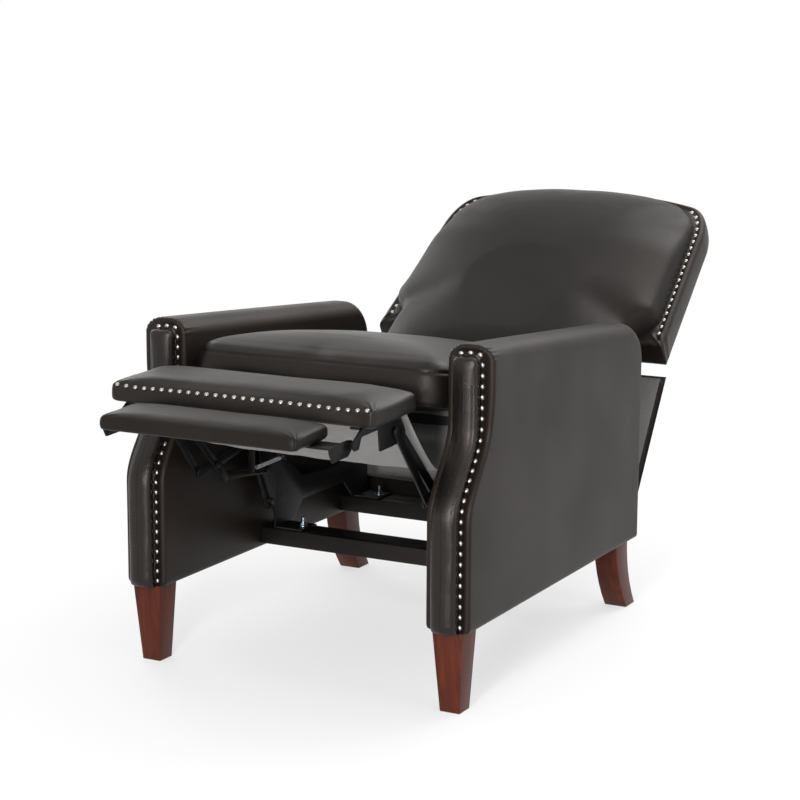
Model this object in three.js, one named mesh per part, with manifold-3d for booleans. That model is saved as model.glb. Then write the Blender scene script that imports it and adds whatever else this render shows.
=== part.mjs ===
// Wingback recliner, drawn open and leaning back. Millimetres, +Z up; the sitter faces -Y.
import * as THREE from 'three';
import { mergeGeometries, mergeVertices } from 'three/addons/utils/BufferGeometryUtils.js';
import Module from 'manifold-3d';

const wasm = await Module();
wasm.setup();

// Whole chair
const overallWidth = 710;
const legHeight = 150;
const gap = 0.3;             // air between pieces that touch
const cutOverrun = 5;        // how far every cutting shape runs past what it cuts

// Arms
const armWidth = 85;
const armRear = 370;         // rear face, measured back from the middle of the seat
const armFront = 398;        // front of the wooden arm near the floor, measured forward
const scrollReach = 78;      // how much further forward the lower front stands than the upper
const scrollBottom = 345;
const scrollTop = 500;
const armTopFront = 640;
const armTopRear = 592;
const armRearRound = 50;
const armFrontRound = 12;
const armTopRoundWide = 28;
const armTopRoundTall = 24;
const armSidePadding = 12;
const armTopPadding = 28;
const armPadDepth = 31;      // how far the front pad swells forward
const armPadRim = 13;        // depth of the front pad under its nails
const armPadCorner = 22;
const nailInset = 15;        // nail row to the edge of the pad

// Decorative nails
const nailRadius = 5.5;
const nailHeight = 2.6;
const nailPitch = 21;
const tapeWidth = 12;
const tapeThickness = 0.8;
const nailSink = 0.3;

// Legs
const frontLegTop = 58;
const frontLegBottom = 39;
const frontLegFromFront = 23;
const frontLegLean = 4;      // the foot stands this much further back than the top
const rearLegWide = 48;
const rearLegTop = 62;
const rearLegBottom = 45;
const rearLegSweep = 56;     // the foot stands this much further back than the top
const rearLegFromRear = 35;
const legScrewRadius = 4;
const legScrewLength = 30;

// Cross rails
const railThick = 32;
const railDepth = 65;
const railLift = 8;
const frontRailBack = 0;
const rearRailFront = 250;
const backRailTall = 66;
const backRailThick = 25;

// Steel linkage: pivots are [back from the middle, height]
const plateThick = 4;
const laneGap = 1.5;
const plateInset = 29;       // outside of the mechanism plate to the arm
const linkHalfWidth = 10;
const rivetRadius = 4;
const rivetHead = 7;
const rivetHeadThick = 2;
const rivetClearance = 0.4;
const liftPivot = [-110, 400];
const kneePivot = [-290, 365];
const footPivot = [-425, 497];
const driveLowPivot = [-103.1, 319.8];
const driveBehindKnee = 40;
const controlBeyondKnee = 46.5;
const controlFootPivot = [-455, 503];
const flipperPivot = [-585, 503];
const seatPivot = [-80, 250];
const backLinkLowPivot = [280, 300];
const backLinkTopPivot = [365, 320];
const flapPivot = [388, 158];
const torqueTubeRadius = 9;
const torqueTubeShare = 0.36;
const backTubeRadius = 8;
const backTubeShare = 0.48;
const plateFootLength = 58;
const plateFootReach = 58;
const plateFootThick = 4;
const boltRadius = 4;
const boltHead = 8;
const boltHeadThick = 5;
const boltNutTall = 7;
const boltTailLength = 12;
const boltInFoot = 14;

// Return springs
const springRadius = 4.5;
const springWire = 0.8;
const springCurls = 24;
const springCurlSteps = 8;
const springWireSides = 5;
const springHook = 10;
const springFront = [-176, 335];
const springRear = [-62, 338];
const springInset = 16;      // spring axis to the inside of the mechanism plate
const springTabHalf = 6;

// Seat
const seatSideGap = 8;
const seatFront = 330;
const seatEdgeHeight = 586;
const seatTilt = 9;
const seatDepth = 628;
const seatThick = 68;
const seatCrown = 36;
const seatCrownShare = 0.5;  // under 1, the crown rises more at once from its rim
const seatPuff = 4;          // how far the border swells between its seams
const seatCorner = 46;
const seatBoardThick = 36;
const seatBoardSetback = 150;
const seatBoardDepth = 410;
const seatBoardInset = 22;
const seatBracketHalfFoot = 16;
const seatBracketHalfTop = 95;

// Back, in its own upright frame: height along the back, depth behind its hinge line
const backLean = 54.4;
const backFace = 110.84;     // front of the wings, before the frame's origin
const wingThick = 30;
const backBoardThick = 18;
const outsideBackThick = 11;
const wingBottom = 736;
const wingBottomInside = 20; // foot of the wing to the outside of the arm
const shoulderHeight = 1085;
const shoulderInside = 40;   // shoulder to the outside of the arm
const shoulderRoundIn = 9;   // how far inside the shoulder its curve bends
const shoulderRoundHeight = 1165;
const shoulderTopIn = 53;    // and ends
const shoulderTopHeight = 1181;
const crestRoundIn = 112;    // shoulder curve's end to the start of the crest
const backTop = 1216;
const stemBottom = 528;
const stemSideGap = 6;       // board to the links beside it
const stemCoverSideGap = 14; // outside panel to the arm
const backPadBottom = 534;
const backPadSideGap = 4;    // pad to the arm, low down
const backPadInWing = 27;    // and to the outside of the wing, high up
const backPadSpreadLow = 765;
const backPadSpreadHigh = 800;
const backPadCrown = 64;
const backPadLumbarShare = 0.1;  // how much deeper it is low down
const backPadBoxShare = 0.3; // under 1, its sides stand up straighter low down
const backPadSoftFrom = 960; // above this its edge rounds off more and more
const backPadTopInset = 9;
const backPadShoulder = 1077;
const backPadTurn = 1135;
const backPadCornerIn = 56;
const backPadCornerTop = 1172;
const wingUnderPad = 52;     // how far the wing runs in under the pad
const backNailInset = 18;
const backNailBottom = 765;
const backBracketTop = 690;
const backBracketHalf = 14;

// Footrest and flipper
const footFront = 578;
const footTopHeight = 559;
const footTilt = 2;
const footSideGap = 6;       // footrest to the line of the arm
const footDepth = 158;
const footBoardThick = 12;
const footPadThick = 19;
const footPadCrown = 13;
const footCorner = 20;
const footNailInset = 12;
const footNailCount = 28;
const footNailRadius = 4.6;
const flipFront = 711;
const flipTopHeight = 530;
const flipTilt = 2.5;
const flipInside = 25.5;     // flipper to its links
const flipDepth = 114;
const flipBoardThick = 10;
const flipPadThick = 13;
const flipPadCrown = 8;
const flipCorner = 18;
const footBracketDepth = 40;
const footBracketNeck = 14;  // height of its forward arm, under the board
const footBracketFront = 52; // its deep part starts this far before the control pivot
const footBracketDrop = 24;  // and hangs this far below it
const flipBracketReachShare = 0.5;
const flipBracketDrop = 18;

// Footrest apron: the cloth that closes the space between footrest and seat
const apronThick = 1.5;
const apronOverLink = 18;    // cloth to the middle of the extension link below it
const apronHighShare = 0.3;  // two places along that link where it passes over
const apronLowShare = 0.7;
const apronSag = 38;         // its lowest line above the knee of the links
const apronTurn = 45;        // and from there it turns up this far back
const apronSteps = 20;

// Rear flap
const flapLean = 33.4;
const flapInside = 25;       // flap to the outside of the arm
const flapLength = 345;
const flapThick = 11;
const flapLining = 2;
const hingeKnuckle = 5;
const hingeLeafTall = 34;
const hingeLeafThick = 2;
const hingeInside = 20;      // hinge to the inside of the arm

// Worked out from the sizes above
const armOuter = overallWidth / 2;
const armInner = armOuter - armWidth;
const armMiddle = (armOuter + armInner) / 2;
const railBottom = legHeight + railLift;
const railTop = railBottom + railThick;
const deg = Math.PI / 180;

// Linkage lanes across the chair, each a pair of inner and outer faces
const lanePitch = plateThick + laneGap;
const plateOuter = armInner - plateInset;
const lane = (n) => [plateOuter - plateThick - n * lanePitch, plateOuter - n * lanePitch];
const seatLane = lane(-1);
const plateLane = lane(0);
const liftLane = lane(1);
const extensionLane = lane(2);
const flipperLane = lane(3);

// Half widths of the upholstered pieces, from the arms and links beside them
const wingBottomHalf = armOuter - wingBottomInside;
const shoulderHalf = armOuter - shoulderInside;
const shoulderRound = [shoulderHalf - shoulderRoundIn, shoulderRoundHeight];
const shoulderTop = [shoulderHalf - shoulderTopIn, shoulderTopHeight];
const crestRound = shoulderTop[0] - crestRoundIn;
const stemHalf = extensionLane[0] - stemSideGap;
const stemCoverHalf = armInner - stemCoverSideGap;
const backPadLowHalf = armInner - backPadSideGap;
const backPadShoulderHalf = shoulderHalf - backPadInWing;
const backPadCornerHalf = backPadShoulderHalf - backPadCornerIn;
const wingInner = backPadShoulderHalf - wingUnderPad;
const footHalf = armInner - footSideGap;
const flipHalf = flipperLane[0] - flipInside;
const flapHalf = armOuter - flapInside;
const hingeHalf = armInner - hingeInside;

// Finishes
const finish = (color, roughness, metalness = 0) =>
  new THREE.MeshStandardMaterial({ color, roughness, metalness });
const leather = () => finish(0x2b2826, 0.38);
const timber = () => finish(0x9a7650, 0.7);
const mahogany = () => finish(0x6e2f1d, 0.35);
const blackSteel = () => finish(0x17171a, 0.45, 0.7);
const zinc = () => finish(0xb9c0c8, 0.3, 0.9);
const pewter = () => finish(0xb8b4aa, 0.3, 0.9);
const greyCloth = () => finish(0x8f8b86, 0.95);

// Solid modelling helpers
function solidOf(geometry) {
  const bare = geometry.clone();
  for (const name of Object.keys(bare.attributes)) {
    if (name !== 'position') bare.deleteAttribute(name);
  }
  const merged = mergeVertices(bare, 1e-4);
  return new wasm.Manifold(new wasm.Mesh({
    numProp: 3,
    vertProperties: new Float32Array(merged.attributes.position.array),
    triVerts: new Uint32Array(merged.index.array),
  }));
}

function geometryOf(solid) {
  const mesh = solid.getMesh();
  const geometry = new THREE.BufferGeometry();
  geometry.setAttribute('position', new THREE.BufferAttribute(new Float32Array(mesh.vertProperties), 3));
  geometry.setIndex(new THREE.BufferAttribute(new Uint32Array(mesh.triVerts), 1));
  return geometry;
}

const joined = (...geometries) => geometryOf(geometries.map(solidOf).reduce((a, b) => a.add(b)));
const cut = (geometry, ...tools) => geometryOf(tools.map(solidOf).reduce((a, b) => a.subtract(b), solidOf(geometry)));
const shared = (a, b) => geometryOf(solidOf(a).intersect(solidOf(b)));

const shapeOf = (points) => new THREE.Shape(points.map(([a, b]) => new THREE.Vector2(a, b)));

function extruded(shape, depth) {
  return new THREE.ExtrudeGeometry(shape, { depth, bevelEnabled: false, curveSegments: 6 });
}

// A side outline in (y, z), given thickness across the chair from x0 to x1
function slab(shape, x0, x1) {
  const geometry = extruded(shape, x1 - x0);
  geometry.applyMatrix4(new THREE.Matrix4().set(0, 0, 1, x0, 1, 0, 0, 0, 0, 1, 0, 0, 0, 0, 0, 1));
  return geometry;
}

// A front outline in (x, z), given thickness from y0 back to y1
function board(shape, y0, y1) {
  return extruded(shape, y1 - y0).rotateX(Math.PI / 2).translate(0, y1, 0);
}

function box(x0, x1, y0, y1, z0, z1) {
  return new THREE.BoxGeometry(x1 - x0, y1 - y0, z1 - z0)
    .translate((x0 + x1) / 2, (y0 + y1) / 2, (z0 + z1) / 2);
}

// Triangles that fill a ring, wound the way the ring runs
function cap(ring, flat) {
  const faces = THREE.ShapeUtils.triangulateShape(ring.map((p) => new THREE.Vector2(p[flat[0]], p[flat[1]])), []);
  const along = faces.some(([a, b, c]) => b === a + 1 || c === b + 1 || a === c + 1);
  return along ? faces : faces.map(([a, b, c]) => [a, c, b]);
}

// Rings of equal count, skinned and capped; flat says which two coordinates the caps are flat in
function loft(rings, flat) {
  const n = rings[0].length;
  const positions = rings.flat(2);
  const index = [];
  for (let i = 0; i + 1 < rings.length; i++) {
    for (let j = 0; j < n; j++) {
      const a = i * n + j;
      const b = i * n + (j + 1) % n;
      index.push(a, b, b + n, a, b + n, a + n);
    }
  }
  const last = (rings.length - 1) * n;
  for (const [a, b, c] of cap(rings[0], flat)) index.push(a, c, b);
  for (const [a, b, c] of cap(rings[rings.length - 1], flat)) index.push(last + a, last + b, last + c);
  const geometry = new THREE.BufferGeometry();
  geometry.setAttribute('position', new THREE.BufferAttribute(new Float32Array(positions), 3));
  geometry.setIndex(index);
  return facingOut(geometry);
}

// Turns a closed mesh right side out when its volume comes out negative
function facingOut(geometry) {
  const p = geometry.attributes.position;
  const index = geometry.index.array;
  const v = [new THREE.Vector3(), new THREE.Vector3(), new THREE.Vector3()];
  let volume = 0;
  for (let i = 0; i < index.length; i += 3) {
    v.forEach((corner, k) => corner.fromBufferAttribute(p, index[i + k]));
    volume += v[0].dot(v[1].clone().cross(v[2]));
  }
  if (volume < 0) {
    for (let i = 0; i < index.length; i += 3) [index[i], index[i + 1]] = [index[i + 1], index[i]];
  }
  return geometry;
}

const mirrored = (geometry) => {
  const flipped = geometry.clone().applyMatrix4(new THREE.Matrix4().makeScale(-1, 1, 1));
  return facingOut(flipped);
};

const chair = new THREE.Group();

function place(name, geometry, material, parent = chair) {
  const mesh = new THREE.Mesh(geometry, material);
  mesh.name = name;
  parent.add(mesh);
  return mesh;
}

// The sitter's left is +X; the same piece is mirrored for the right
function placePair(name, geometry, material, parent = chair) {
  place(`${name}_left`, geometry, material(), parent);
  place(`${name}_right`, mirrored(geometry), material(), parent);
}

// Arm side profile
const ease = (t) => t * t * (3 - 2 * t);
const clamp01 = (t) => Math.min(Math.max(t, 0), 1);
const scrollFront = (z) => -armFront + scrollReach * ease(clamp01((z - scrollBottom) / (scrollTop - scrollBottom)));
const armUpperFront = -armFront + scrollReach;
const crownSlope = (armTopFront - armTopRear) / (armRear - armRearRound - armUpperFront);

function crownHeight(y) {
  const rearStart = armRear - armRearRound;
  const frontEnd = armUpperFront + armFrontRound;
  const fall = (y - frontEnd) / (rearStart - frontEnd);
  const straight = armTopFront + (armTopRear - armTopFront) * Math.min(fall, 1);
  if (y > rearStart) {
    const t = Math.min((y - rearStart) / armRearRound, 1);
    return straight - armRearRound * (1 - Math.sqrt(1 - t * t));
  }
  if (y < frontEnd) {
    const t = Math.min((frontEnd - y) / armFrontRound, 1);
    return armTopFront - armFrontRound * (1 - Math.sqrt(1 - t * t));
  }
  return straight;
}

const scrollSteps = 8;
const scrollHeights = Array.from({ length: scrollSteps + 1 },
  (_, i) => scrollBottom + (scrollTop - scrollBottom) * i / scrollSteps);

// Everything before the scrolled front of the arm, as a cutting shape moved back by an inset
function beforeScroll(inset) {
  const points = [[-armFront - armPadDepth * 2, legHeight - cutOverrun]];
  points.push([scrollFront(legHeight) + inset, legHeight - cutOverrun]);
  for (const z of scrollHeights) points.push([scrollFront(z) + inset, z]);
  points.push([armUpperFront + inset, armTopFront + cutOverrun]);
  points.push([-armFront - armPadDepth * 2, armTopFront + cutOverrun]);
  return slab(shapeOf(points), armInner - cutOverrun, armOuter + cutOverrun);
}

function armSection(y) {
  const top = crownHeight(y);
  const ring = [[armOuter, y, legHeight]];
  const cornerSteps = 4;
  for (const side of [1, -1]) {
    for (let i = 0; i <= cornerSteps; i++) {
      const t = (side > 0 ? i : cornerSteps - i) / cornerSteps * Math.PI / 2;
      const x = armMiddle + side * (armWidth / 2 - armTopRoundWide * (1 - Math.cos(t)));
      ring.push([x, y, top - armTopRoundTall * (1 - Math.sin(t))]);
    }
  }
  ring.push([armInner, y, legHeight]);
  return ring;
}

function armCoreOutline(inset) {
  const overrun = inset ? cutOverrun : 0;
  const points = [[armRear - armSidePadding + inset, legHeight - overrun]];
  const rearTop = armTopRear - armTopPadding - armRearRound / 2;
  points.push([armRear - armSidePadding + inset, rearTop + inset]);
  points.push([armRear - armRearRound, armTopRear - armTopPadding + inset]);
  points.push([armUpperFront - overrun, armTopFront - armTopPadding + inset + crownSlope * overrun]);
  for (const z of [...scrollHeights].reverse()) points.push([scrollFront(z) - overrun, z]);
  points.push([-armFront - overrun, legHeight - overrun]);
  return shapeOf(points);
}

function armParts() {
  const crownSpan = armRear - armRearRound - armUpperFront - armFrontRound;
  const stations = [-armFront, armUpperFront + armFrontRound * 0.1, armUpperFront + armFrontRound * 0.4,
    armUpperFront + armFrontRound];
  for (const share of [0.25, 0.5, 0.75, 1]) stations.push(armUpperFront + armFrontRound + crownSpan * share);
  for (const share of [0.35, 0.6, 0.8, 0.93, 1]) stations.push(armRear - armRearRound * (1 - share));
  const coreInner = armInner + armSidePadding;
  const coreOuter = armOuter - armSidePadding;
  const hollow = slab(armCoreOutline(gap), coreInner - gap, coreOuter + gap);
  const outside = loft(stations.map(armSection), [0, 2]);
  placePair('arm_cover', cut(outside, beforeScroll(0), hollow), leather);

  const screwHoleRadius = legScrewRadius + rivetClearance;
  const holes = [frontLegPlace.y, rearLegPlace.y].map((y) => legScrew(screwHoleRadius, legScrewLength + gap)
    .translate(frontLegPlace.x, y, legHeight));
  const core = cut(slab(armCoreOutline(0), coreInner, coreOuter), ...holes);
  placePair('arm_frame', core, timber);

  placePair('arm_front_pad', armFrontPad(), leather);
  placePair('arm_nail_trim', armNailTrim(), pewter);
}

// Front pad of an arm: nested loops, each a distance in from the outline and a depth forward
const armPadHalf = armWidth / 2;
const armPadLoops = [
  [0, 0], [0.05, 0.2], [0.13, 0.36], [0.2, armPadRim / armPadDepth], [0.5, armPadRim / armPadDepth],
  [0.64, 0.68], [0.82, 0.92], [1, 1],
].map(([insetShare, depthShare]) => [insetShare * armPadHalf, depthShare * armPadDepth]);

const padFootHeights = [0, 0.5, 1].map((share) => legHeight + (scrollBottom - legHeight) * share);
const padHeadHeights = [0.5].map((share) => scrollTop + (armTopFront - armPadHalf - scrollTop) * share);

// A path up one side of the pad, over its top and down the other, inset from the edge
function armPadPath(inset, depth) {
  const half = armPadHalf - inset;
  const sideTop = armTopFront - armPadHalf;
  const heights = [...padFootHeights, ...scrollHeights.slice(1), ...padHeadHeights];
  const up = heights.map((z) => [armMiddle + half, z]);
  const over = [];
  const cornerRadius = Math.max(armPadCorner - inset, 0);
  const turnSteps = 8;
  for (let i = 0; i <= turnSteps; i++) {
    const angle = i / turnSteps * Math.PI / 2;
    // the rounded square corner shrinks to the centre line with the inset
    const a = Math.tan(Math.min(angle, Math.PI / 2 - angle));
    const square = angle < Math.PI / 4 ? [1, a] : [a, 1];
    const reach = half - cornerRadius;
    const corner = Math.hypot(square[0] * half, square[1] * half);
    const dir = [square[0] * half / (corner || 1), square[1] * half / (corner || 1)];
    const limit = roundedReach(dir, half, reach, cornerRadius);
    over.push([armMiddle + dir[0] * limit, sideTop + dir[1] * limit]);
  }
  const right = [...up, ...over];
  const left = right.slice(0, -1).reverse().map(([x, z]) => [2 * armMiddle - x, z]);
  return [...right, ...left].map(([x, z]) => [x, scrollFront(z) - depth, z]);
}

// Distance from the middle of a rounded square to its edge along a direction in its first quarter
function roundedReach(dir, half, reach, radius) {
  const square = half / Math.max(dir[0], dir[1], 1e-9);
  const x = dir[0] * square;
  const z = dir[1] * square;
  if (radius <= 0 || Math.min(x, z) <= reach) return half === 0 ? 0 : square;
  const along = dir[0] * reach + dir[1] * reach;
  const across = reach * reach * 2 - along * along;
  return along + Math.sqrt(Math.max(radius * radius - across, 0));
}

function gridSolid(loops, closeWith) {
  const n = loops[0].length;
  const positions = [...loops.flat(2)];
  const index = [];
  for (let i = 0; i + 1 < loops.length; i++) {
    for (let j = 0; j + 1 < n; j++) {
      const a = i * n + j;
      index.push(a, a + 1, a + n + 1, a, a + n + 1, a + n);
    }
  }
  closeWith(positions, index, n);
  const geometry = new THREE.BufferGeometry();
  geometry.setAttribute('position', new THREE.BufferAttribute(new Float32Array(positions), 3));
  geometry.setIndex(index);
  const merged = mergeVertices(geometry, 1e-3);
  const kept = [];
  const m = merged.index.array;
  for (let i = 0; i < m.length; i += 3) {
    if (m[i] !== m[i + 1] && m[i + 1] !== m[i + 2] && m[i] !== m[i + 2]) kept.push(m[i], m[i + 1], m[i + 2]);
  }
  merged.setIndex(kept);
  return facingOut(merged);
}

function armFrontPad() {
  const loops = armPadLoops.map(([inset, depth]) => armPadPath(inset, depth));
  loops.unshift(loops[0].map(([x, , z]) => [x, 0, z]));
  const last = loops.length - 1;
  const solid = gridSolid(loops, (positions, index, n) => {
    // the underside joins the two feet of every loop, and the rear face fills the first loop
    for (let i = 0; i < last; i++) {
      index.push(i * n, (i + 1) * n, (i + 1) * n + n - 1, i * n, (i + 1) * n + n - 1, i * n + n - 1);
    }
    for (const [a, b, c] of cap(loops[0], [0, 2])) index.push(a, c, b);
  });
  return cut(solid, behindScroll());
}

// Everything behind the front of the arm, with the touching gap
function behindScroll() {
  const points = [[armRear, legHeight - cutOverrun], [armRear, armTopFront + cutOverrun]];
  points.push([armUpperFront - gap, armTopFront + cutOverrun]);
  for (const z of [...scrollHeights].reverse()) points.push([scrollFront(z) - gap, z]);
  points.push([-armFront - gap, legHeight - cutOverrun]);
  return slab(shapeOf(points), armInner - cutOverrun, armOuter + cutOverrun);
}

// A tape along a path, with a nail at every pitch. Each path point has a place, a normal and a width direction
function nailTape(path, radius, pitch, width = tapeWidth) {
  const rings = path.map(({ at, normal, across }) => [[-1, 0], [1, 0], [1, 1], [-1, 1]].map(([s, t]) =>
    at.clone().addScaledVector(across, s * width / 2).addScaledVector(normal, gap + t * tapeThickness).toArray()));
  const tape = gridSolid([...rings].map((ring) => [...ring, ring[0]]), (positions, index, n) => {
    const last = (rings.length - 1) * n;
    index.push(0, 2, 1, 0, 3, 2, last, last + 1, last + 2, last, last + 2, last + 3);
  });
  const whole = path.slice(1).reduce((sum, { at }, i) => sum + at.distanceTo(path[i].at), 0);
  const step = whole / Math.round(whole / pitch);
  const nails = [];
  let travelled = 0;
  let next = step / 2;
  for (let i = 0; i + 1 < path.length; i++) {
    const a = path[i];
    const b = path[i + 1];
    const length = a.at.distanceTo(b.at);
    while (next <= travelled + length) {
      const t = (next - travelled) / length;
      const normal = a.normal.clone().lerp(b.normal, t).normalize();
      const lift = gap + tapeThickness - nailSink + (nailHeight + nailSink) / 2;
      const nail = new THREE.ConeGeometry(radius, nailHeight + nailSink, 6);
      nail.applyQuaternion(new THREE.Quaternion().setFromUnitVectors(new THREE.Vector3(0, 1, 0), normal));
      const at = a.at.clone().lerp(b.at, t).addScaledVector(normal, lift);
      nails.push(nail.translate(at.x, at.y, at.z));
      next += step;
    }
    travelled += length;
  }
  return joined(tape, ...nails);
}

function armNailTrim() {
  const inset = nailInset;
  const spread = tapeWidth / 2;
  const outer = armPadPath(inset - spread, armPadRim);
  const inner = armPadPath(inset + spread, armPadRim);
  const path = outer.map((p, i) => {
    const a = new THREE.Vector3(...p);
    const b = new THREE.Vector3(...inner[i]);
    return { at: a.clone().add(b).multiplyScalar(0.5), across: b.clone().sub(a).normalize() };
  });
  path.forEach((station, i) => {
    const before = path[Math.max(i - 1, 0)].at;
    const after = path[Math.min(i + 1, path.length - 1)].at;
    station.normal = new THREE.Vector3().subVectors(after, before).cross(station.across).normalize();
    if (station.normal.y > 0) station.normal.negate();
  });
  return nailTape(path, nailRadius, nailPitch);
}

// Legs
const frontLegPlace = { x: armMiddle, y: -armFront + frontLegFromFront };
const rearLegPlace = { x: armMiddle, y: armRear - rearLegFromRear };

function legScrew(radius, length) {
  return new THREE.CylinderGeometry(radius, radius, length, 10).rotateX(Math.PI / 2).translate(0, 0, length / 2);
}

const squareRing = (x, y, halfX, halfY, z) =>
  [[x + halfX, y - halfY, z], [x + halfX, y + halfY, z], [x - halfX, y + halfY, z], [x - halfX, y - halfY, z]];

function frontLeg() {
  const { x, y } = frontLegPlace;
  const top = legHeight - gap;
  const stem = loft([
    squareRing(x, y + frontLegLean, frontLegBottom / 2, frontLegBottom / 2, 0),
    squareRing(x, y, frontLegTop / 2, frontLegTop / 2, top),
  ], [0, 1]);
  return joined(stem, legScrew(legScrewRadius, legScrewLength).translate(x, y, top - gap));
}

function rearLeg() {
  const { x, y } = rearLegPlace;
  const top = legHeight - gap;
  const steps = 6;
  const rings = Array.from({ length: steps + 1 }, (_, i) => {
    const t = i / steps;
    const fall = 1 - t;
    const depth = rearLegBottom + (rearLegTop - rearLegBottom) * t;
    return squareRing(x, y + rearLegSweep * fall * fall, rearLegWide / 2, depth / 2, top * t);
  });
  return joined(loft(rings, [0, 1]), legScrew(legScrewRadius, legScrewLength).translate(x, y, top - gap));
}

// Cross rails: planks lying flat between the arms, and one on edge at the back
function rails() {
  const half = armInner - gap;
  const boltSpots = [frontBoltPlace, rearBoltPlace];
  const frontRail = box(-half, half, frontRailBack - railDepth, frontRailBack, railBottom, railTop);
  const rearRail = box(-half, half, rearRailFront, rearRailFront + railDepth, railBottom, railTop);
  const backRail = box(-half, half, armRear - backRailThick, armRear, legHeight, legHeight + backRailTall);
  const boltHoles = (spot) => [1, -1].map((side) => legScrew(boltRadius + rivetClearance, railThick + 2 * cutOverrun)
    .translate(side * spot.x, spot.y, railBottom - cutOverrun));
  place('front_cross_rail', cut(frontRail, ...boltHoles(boltSpots[0])), leather());
  place('rear_cross_rail', cut(rearRail, ...boltHoles(boltSpots[1])), leather());
  place('back_cross_rail', backRail, leather());
}

const boltX = plateLane[0] - plateFootReach + boltInFoot;
const frontBoltPlace = { x: boltX, y: frontRailBack - railDepth / 2 };
const rearBoltPlace = { x: boltX, y: rearRailFront + railDepth / 2 };

function railBolt(spot) {
  const footTop = railTop + gap + plateFootThick;
  const shankTop = footTop + boltNutTall + boltTailLength;
  const shank = legScrew(boltRadius, shankTop - railBottom + boltHeadThick).translate(0, 0, railBottom - boltHeadThick);
  const head = legScrew(boltHead, boltHeadThick - gap).translate(0, 0, railBottom - boltHeadThick);
  const nut = new THREE.CylinderGeometry(boltHead, boltHead, boltNutTall, 6).rotateX(Math.PI / 2)
    .translate(0, 0, footTop + gap + boltNutTall / 2);
  return joined(shank, head, nut).translate(spot.x, spot.y, 0);
}

// Linkage pieces lie in lanes; a link is a bar with round ends, holes and its own rivets
const toward = (from, to, distance) => {
  const length = Math.hypot(to[0] - from[0], to[1] - from[1]);
  return [from[0] + (to[0] - from[0]) * distance / length, from[1] + (to[1] - from[1]) * distance / length];
};
const driveTopPivot = toward(kneePivot, footPivot, -driveBehindKnee);
const controlLowPivot = toward(kneePivot, liftPivot, -controlBeyondKnee);
const between = (a, b, share) => [a[0] + (b[0] - a[0]) * share, a[1] + (b[1] - a[1]) * share];

function bar(a, b, laneFaces, halfWidth = linkHalfWidth) {
  const angle = Math.atan2(b[1] - a[1], b[0] - a[0]);
  const shape = new THREE.Shape();
  shape.absarc(b[0], b[1], halfWidth, angle - Math.PI / 2, angle + Math.PI / 2);
  shape.absarc(a[0], a[1], halfWidth, angle + Math.PI / 2, angle + 3 * Math.PI / 2);
  return slab(shape, laneFaces[0], laneFaces[1]);
}

function pin([y, z], radius, x0, x1) {
  return new THREE.CylinderGeometry(radius, radius, x1 - x0, 12).rotateZ(Math.PI / 2)
    .translate((x0 + x1) / 2, y, z);
}

const holeRadius = (rivetRadius + rivetClearance) / Math.cos(Math.PI / 12);
const pinHole = (at, laneFaces) => pin(at, holeRadius, laneFaces[0] - cutOverrun, laneFaces[1] + cutOverrun);

// A rivet grown on one lane that passes through another and ends in a head beyond it
function rivet(at, ownLane, otherLane) {
  const inward = otherLane[0] < ownLane[0];
  const mid = (ownLane[0] + ownLane[1]) / 2;
  const far = inward ? otherLane[0] - gap : otherLane[1] + gap;
  const headEnd = inward ? far - rivetHeadThick : far + rivetHeadThick;
  return [
    pin(at, rivetRadius, Math.min(mid, headEnd), Math.max(mid, headEnd)),
    pin(at, rivetHead, Math.min(far, headEnd), Math.max(far, headEnd)),
  ];
}

function mechanismPlate() {
  const footZ = railTop + gap;
  const web = linkHalfWidth * 2;
  const nose = frontRailBack - railDepth;
  const heel = rearRailFront + railDepth;
  const outline = shapeOf([
    [nose, footZ], [frontRailBack, footZ], [frontRailBack + web * 2, footZ + web * 2],
    [rearRailFront - web * 2, footZ + web * 2], [rearRailFront, footZ], [heel, footZ],
    [backLinkLowPivot[0] + web * 0.8, backLinkLowPivot[1] - web * 0.4],
    [backLinkLowPivot[0] + web * 0.5, backLinkLowPivot[1] + web * 0.7],
    [backLinkLowPivot[0] - web * 0.6, backLinkLowPivot[1] + web * 0.7],
    [rearRailFront - web * 3, footZ + web * 4], [frontRailBack + web * 2, footZ + web * 4.4],
    [liftPivot[0] + web * 2.4, liftPivot[1] - web * 2.2],
    [liftPivot[0] + web * 0.8, liftPivot[1] + web * 0.2], [liftPivot[0] + web * 0.3, liftPivot[1] + web * 0.7],
    [liftPivot[0] - web * 0.5, liftPivot[1] + web * 0.6], [liftPivot[0] - web * 0.8, liftPivot[1] - web * 0.2],
    [driveLowPivot[0] - web * 0.8, driveLowPivot[1] - web * 0.2],
    [driveLowPivot[0] - web * 0.3, driveLowPivot[1] - web * 0.8], [nose, footZ + web * 1.6],
  ]);
  const plate = cut(slab(outline, ...plateLane), pinHole(seatPivot, plateLane));
  const foot = (spot) => box(spot.x - boltInFoot, plateLane[1], spot.y - plateFootLength / 2,
    spot.y + plateFootLength / 2, footZ, footZ + plateFootThick);
  const { x, y } = frontBoltPlace;
  const hole = legScrew(boltRadius + rivetClearance, plateFootThick + 2 * cutOverrun)
    .translate(x, y, footZ - cutOverrun);
  const tab = box(springX - springTabHalf, plateLane[1], springRear[0] + gap,
    springRear[0] + gap + plateThick, springRear[1] - springTabHalf, springRear[1] + springTabHalf);
  return joined(plate, cut(foot(frontBoltPlace), hole), foot(rearBoltPlace), railBolt(rearBoltPlace), tab,
    ...rivet(liftPivot, plateLane, liftLane), ...rivet(driveLowPivot, plateLane, liftLane),
    ...rivet(backLinkLowPivot, plateLane, liftLane));
}

const springX = plateLane[0] - springInset;
const tubeCentre = between(liftPivot, kneePivot, torqueTubeShare);
const backTubeCentre = between(backLinkLowPivot, backLinkTopPivot, backTubeShare);

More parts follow.
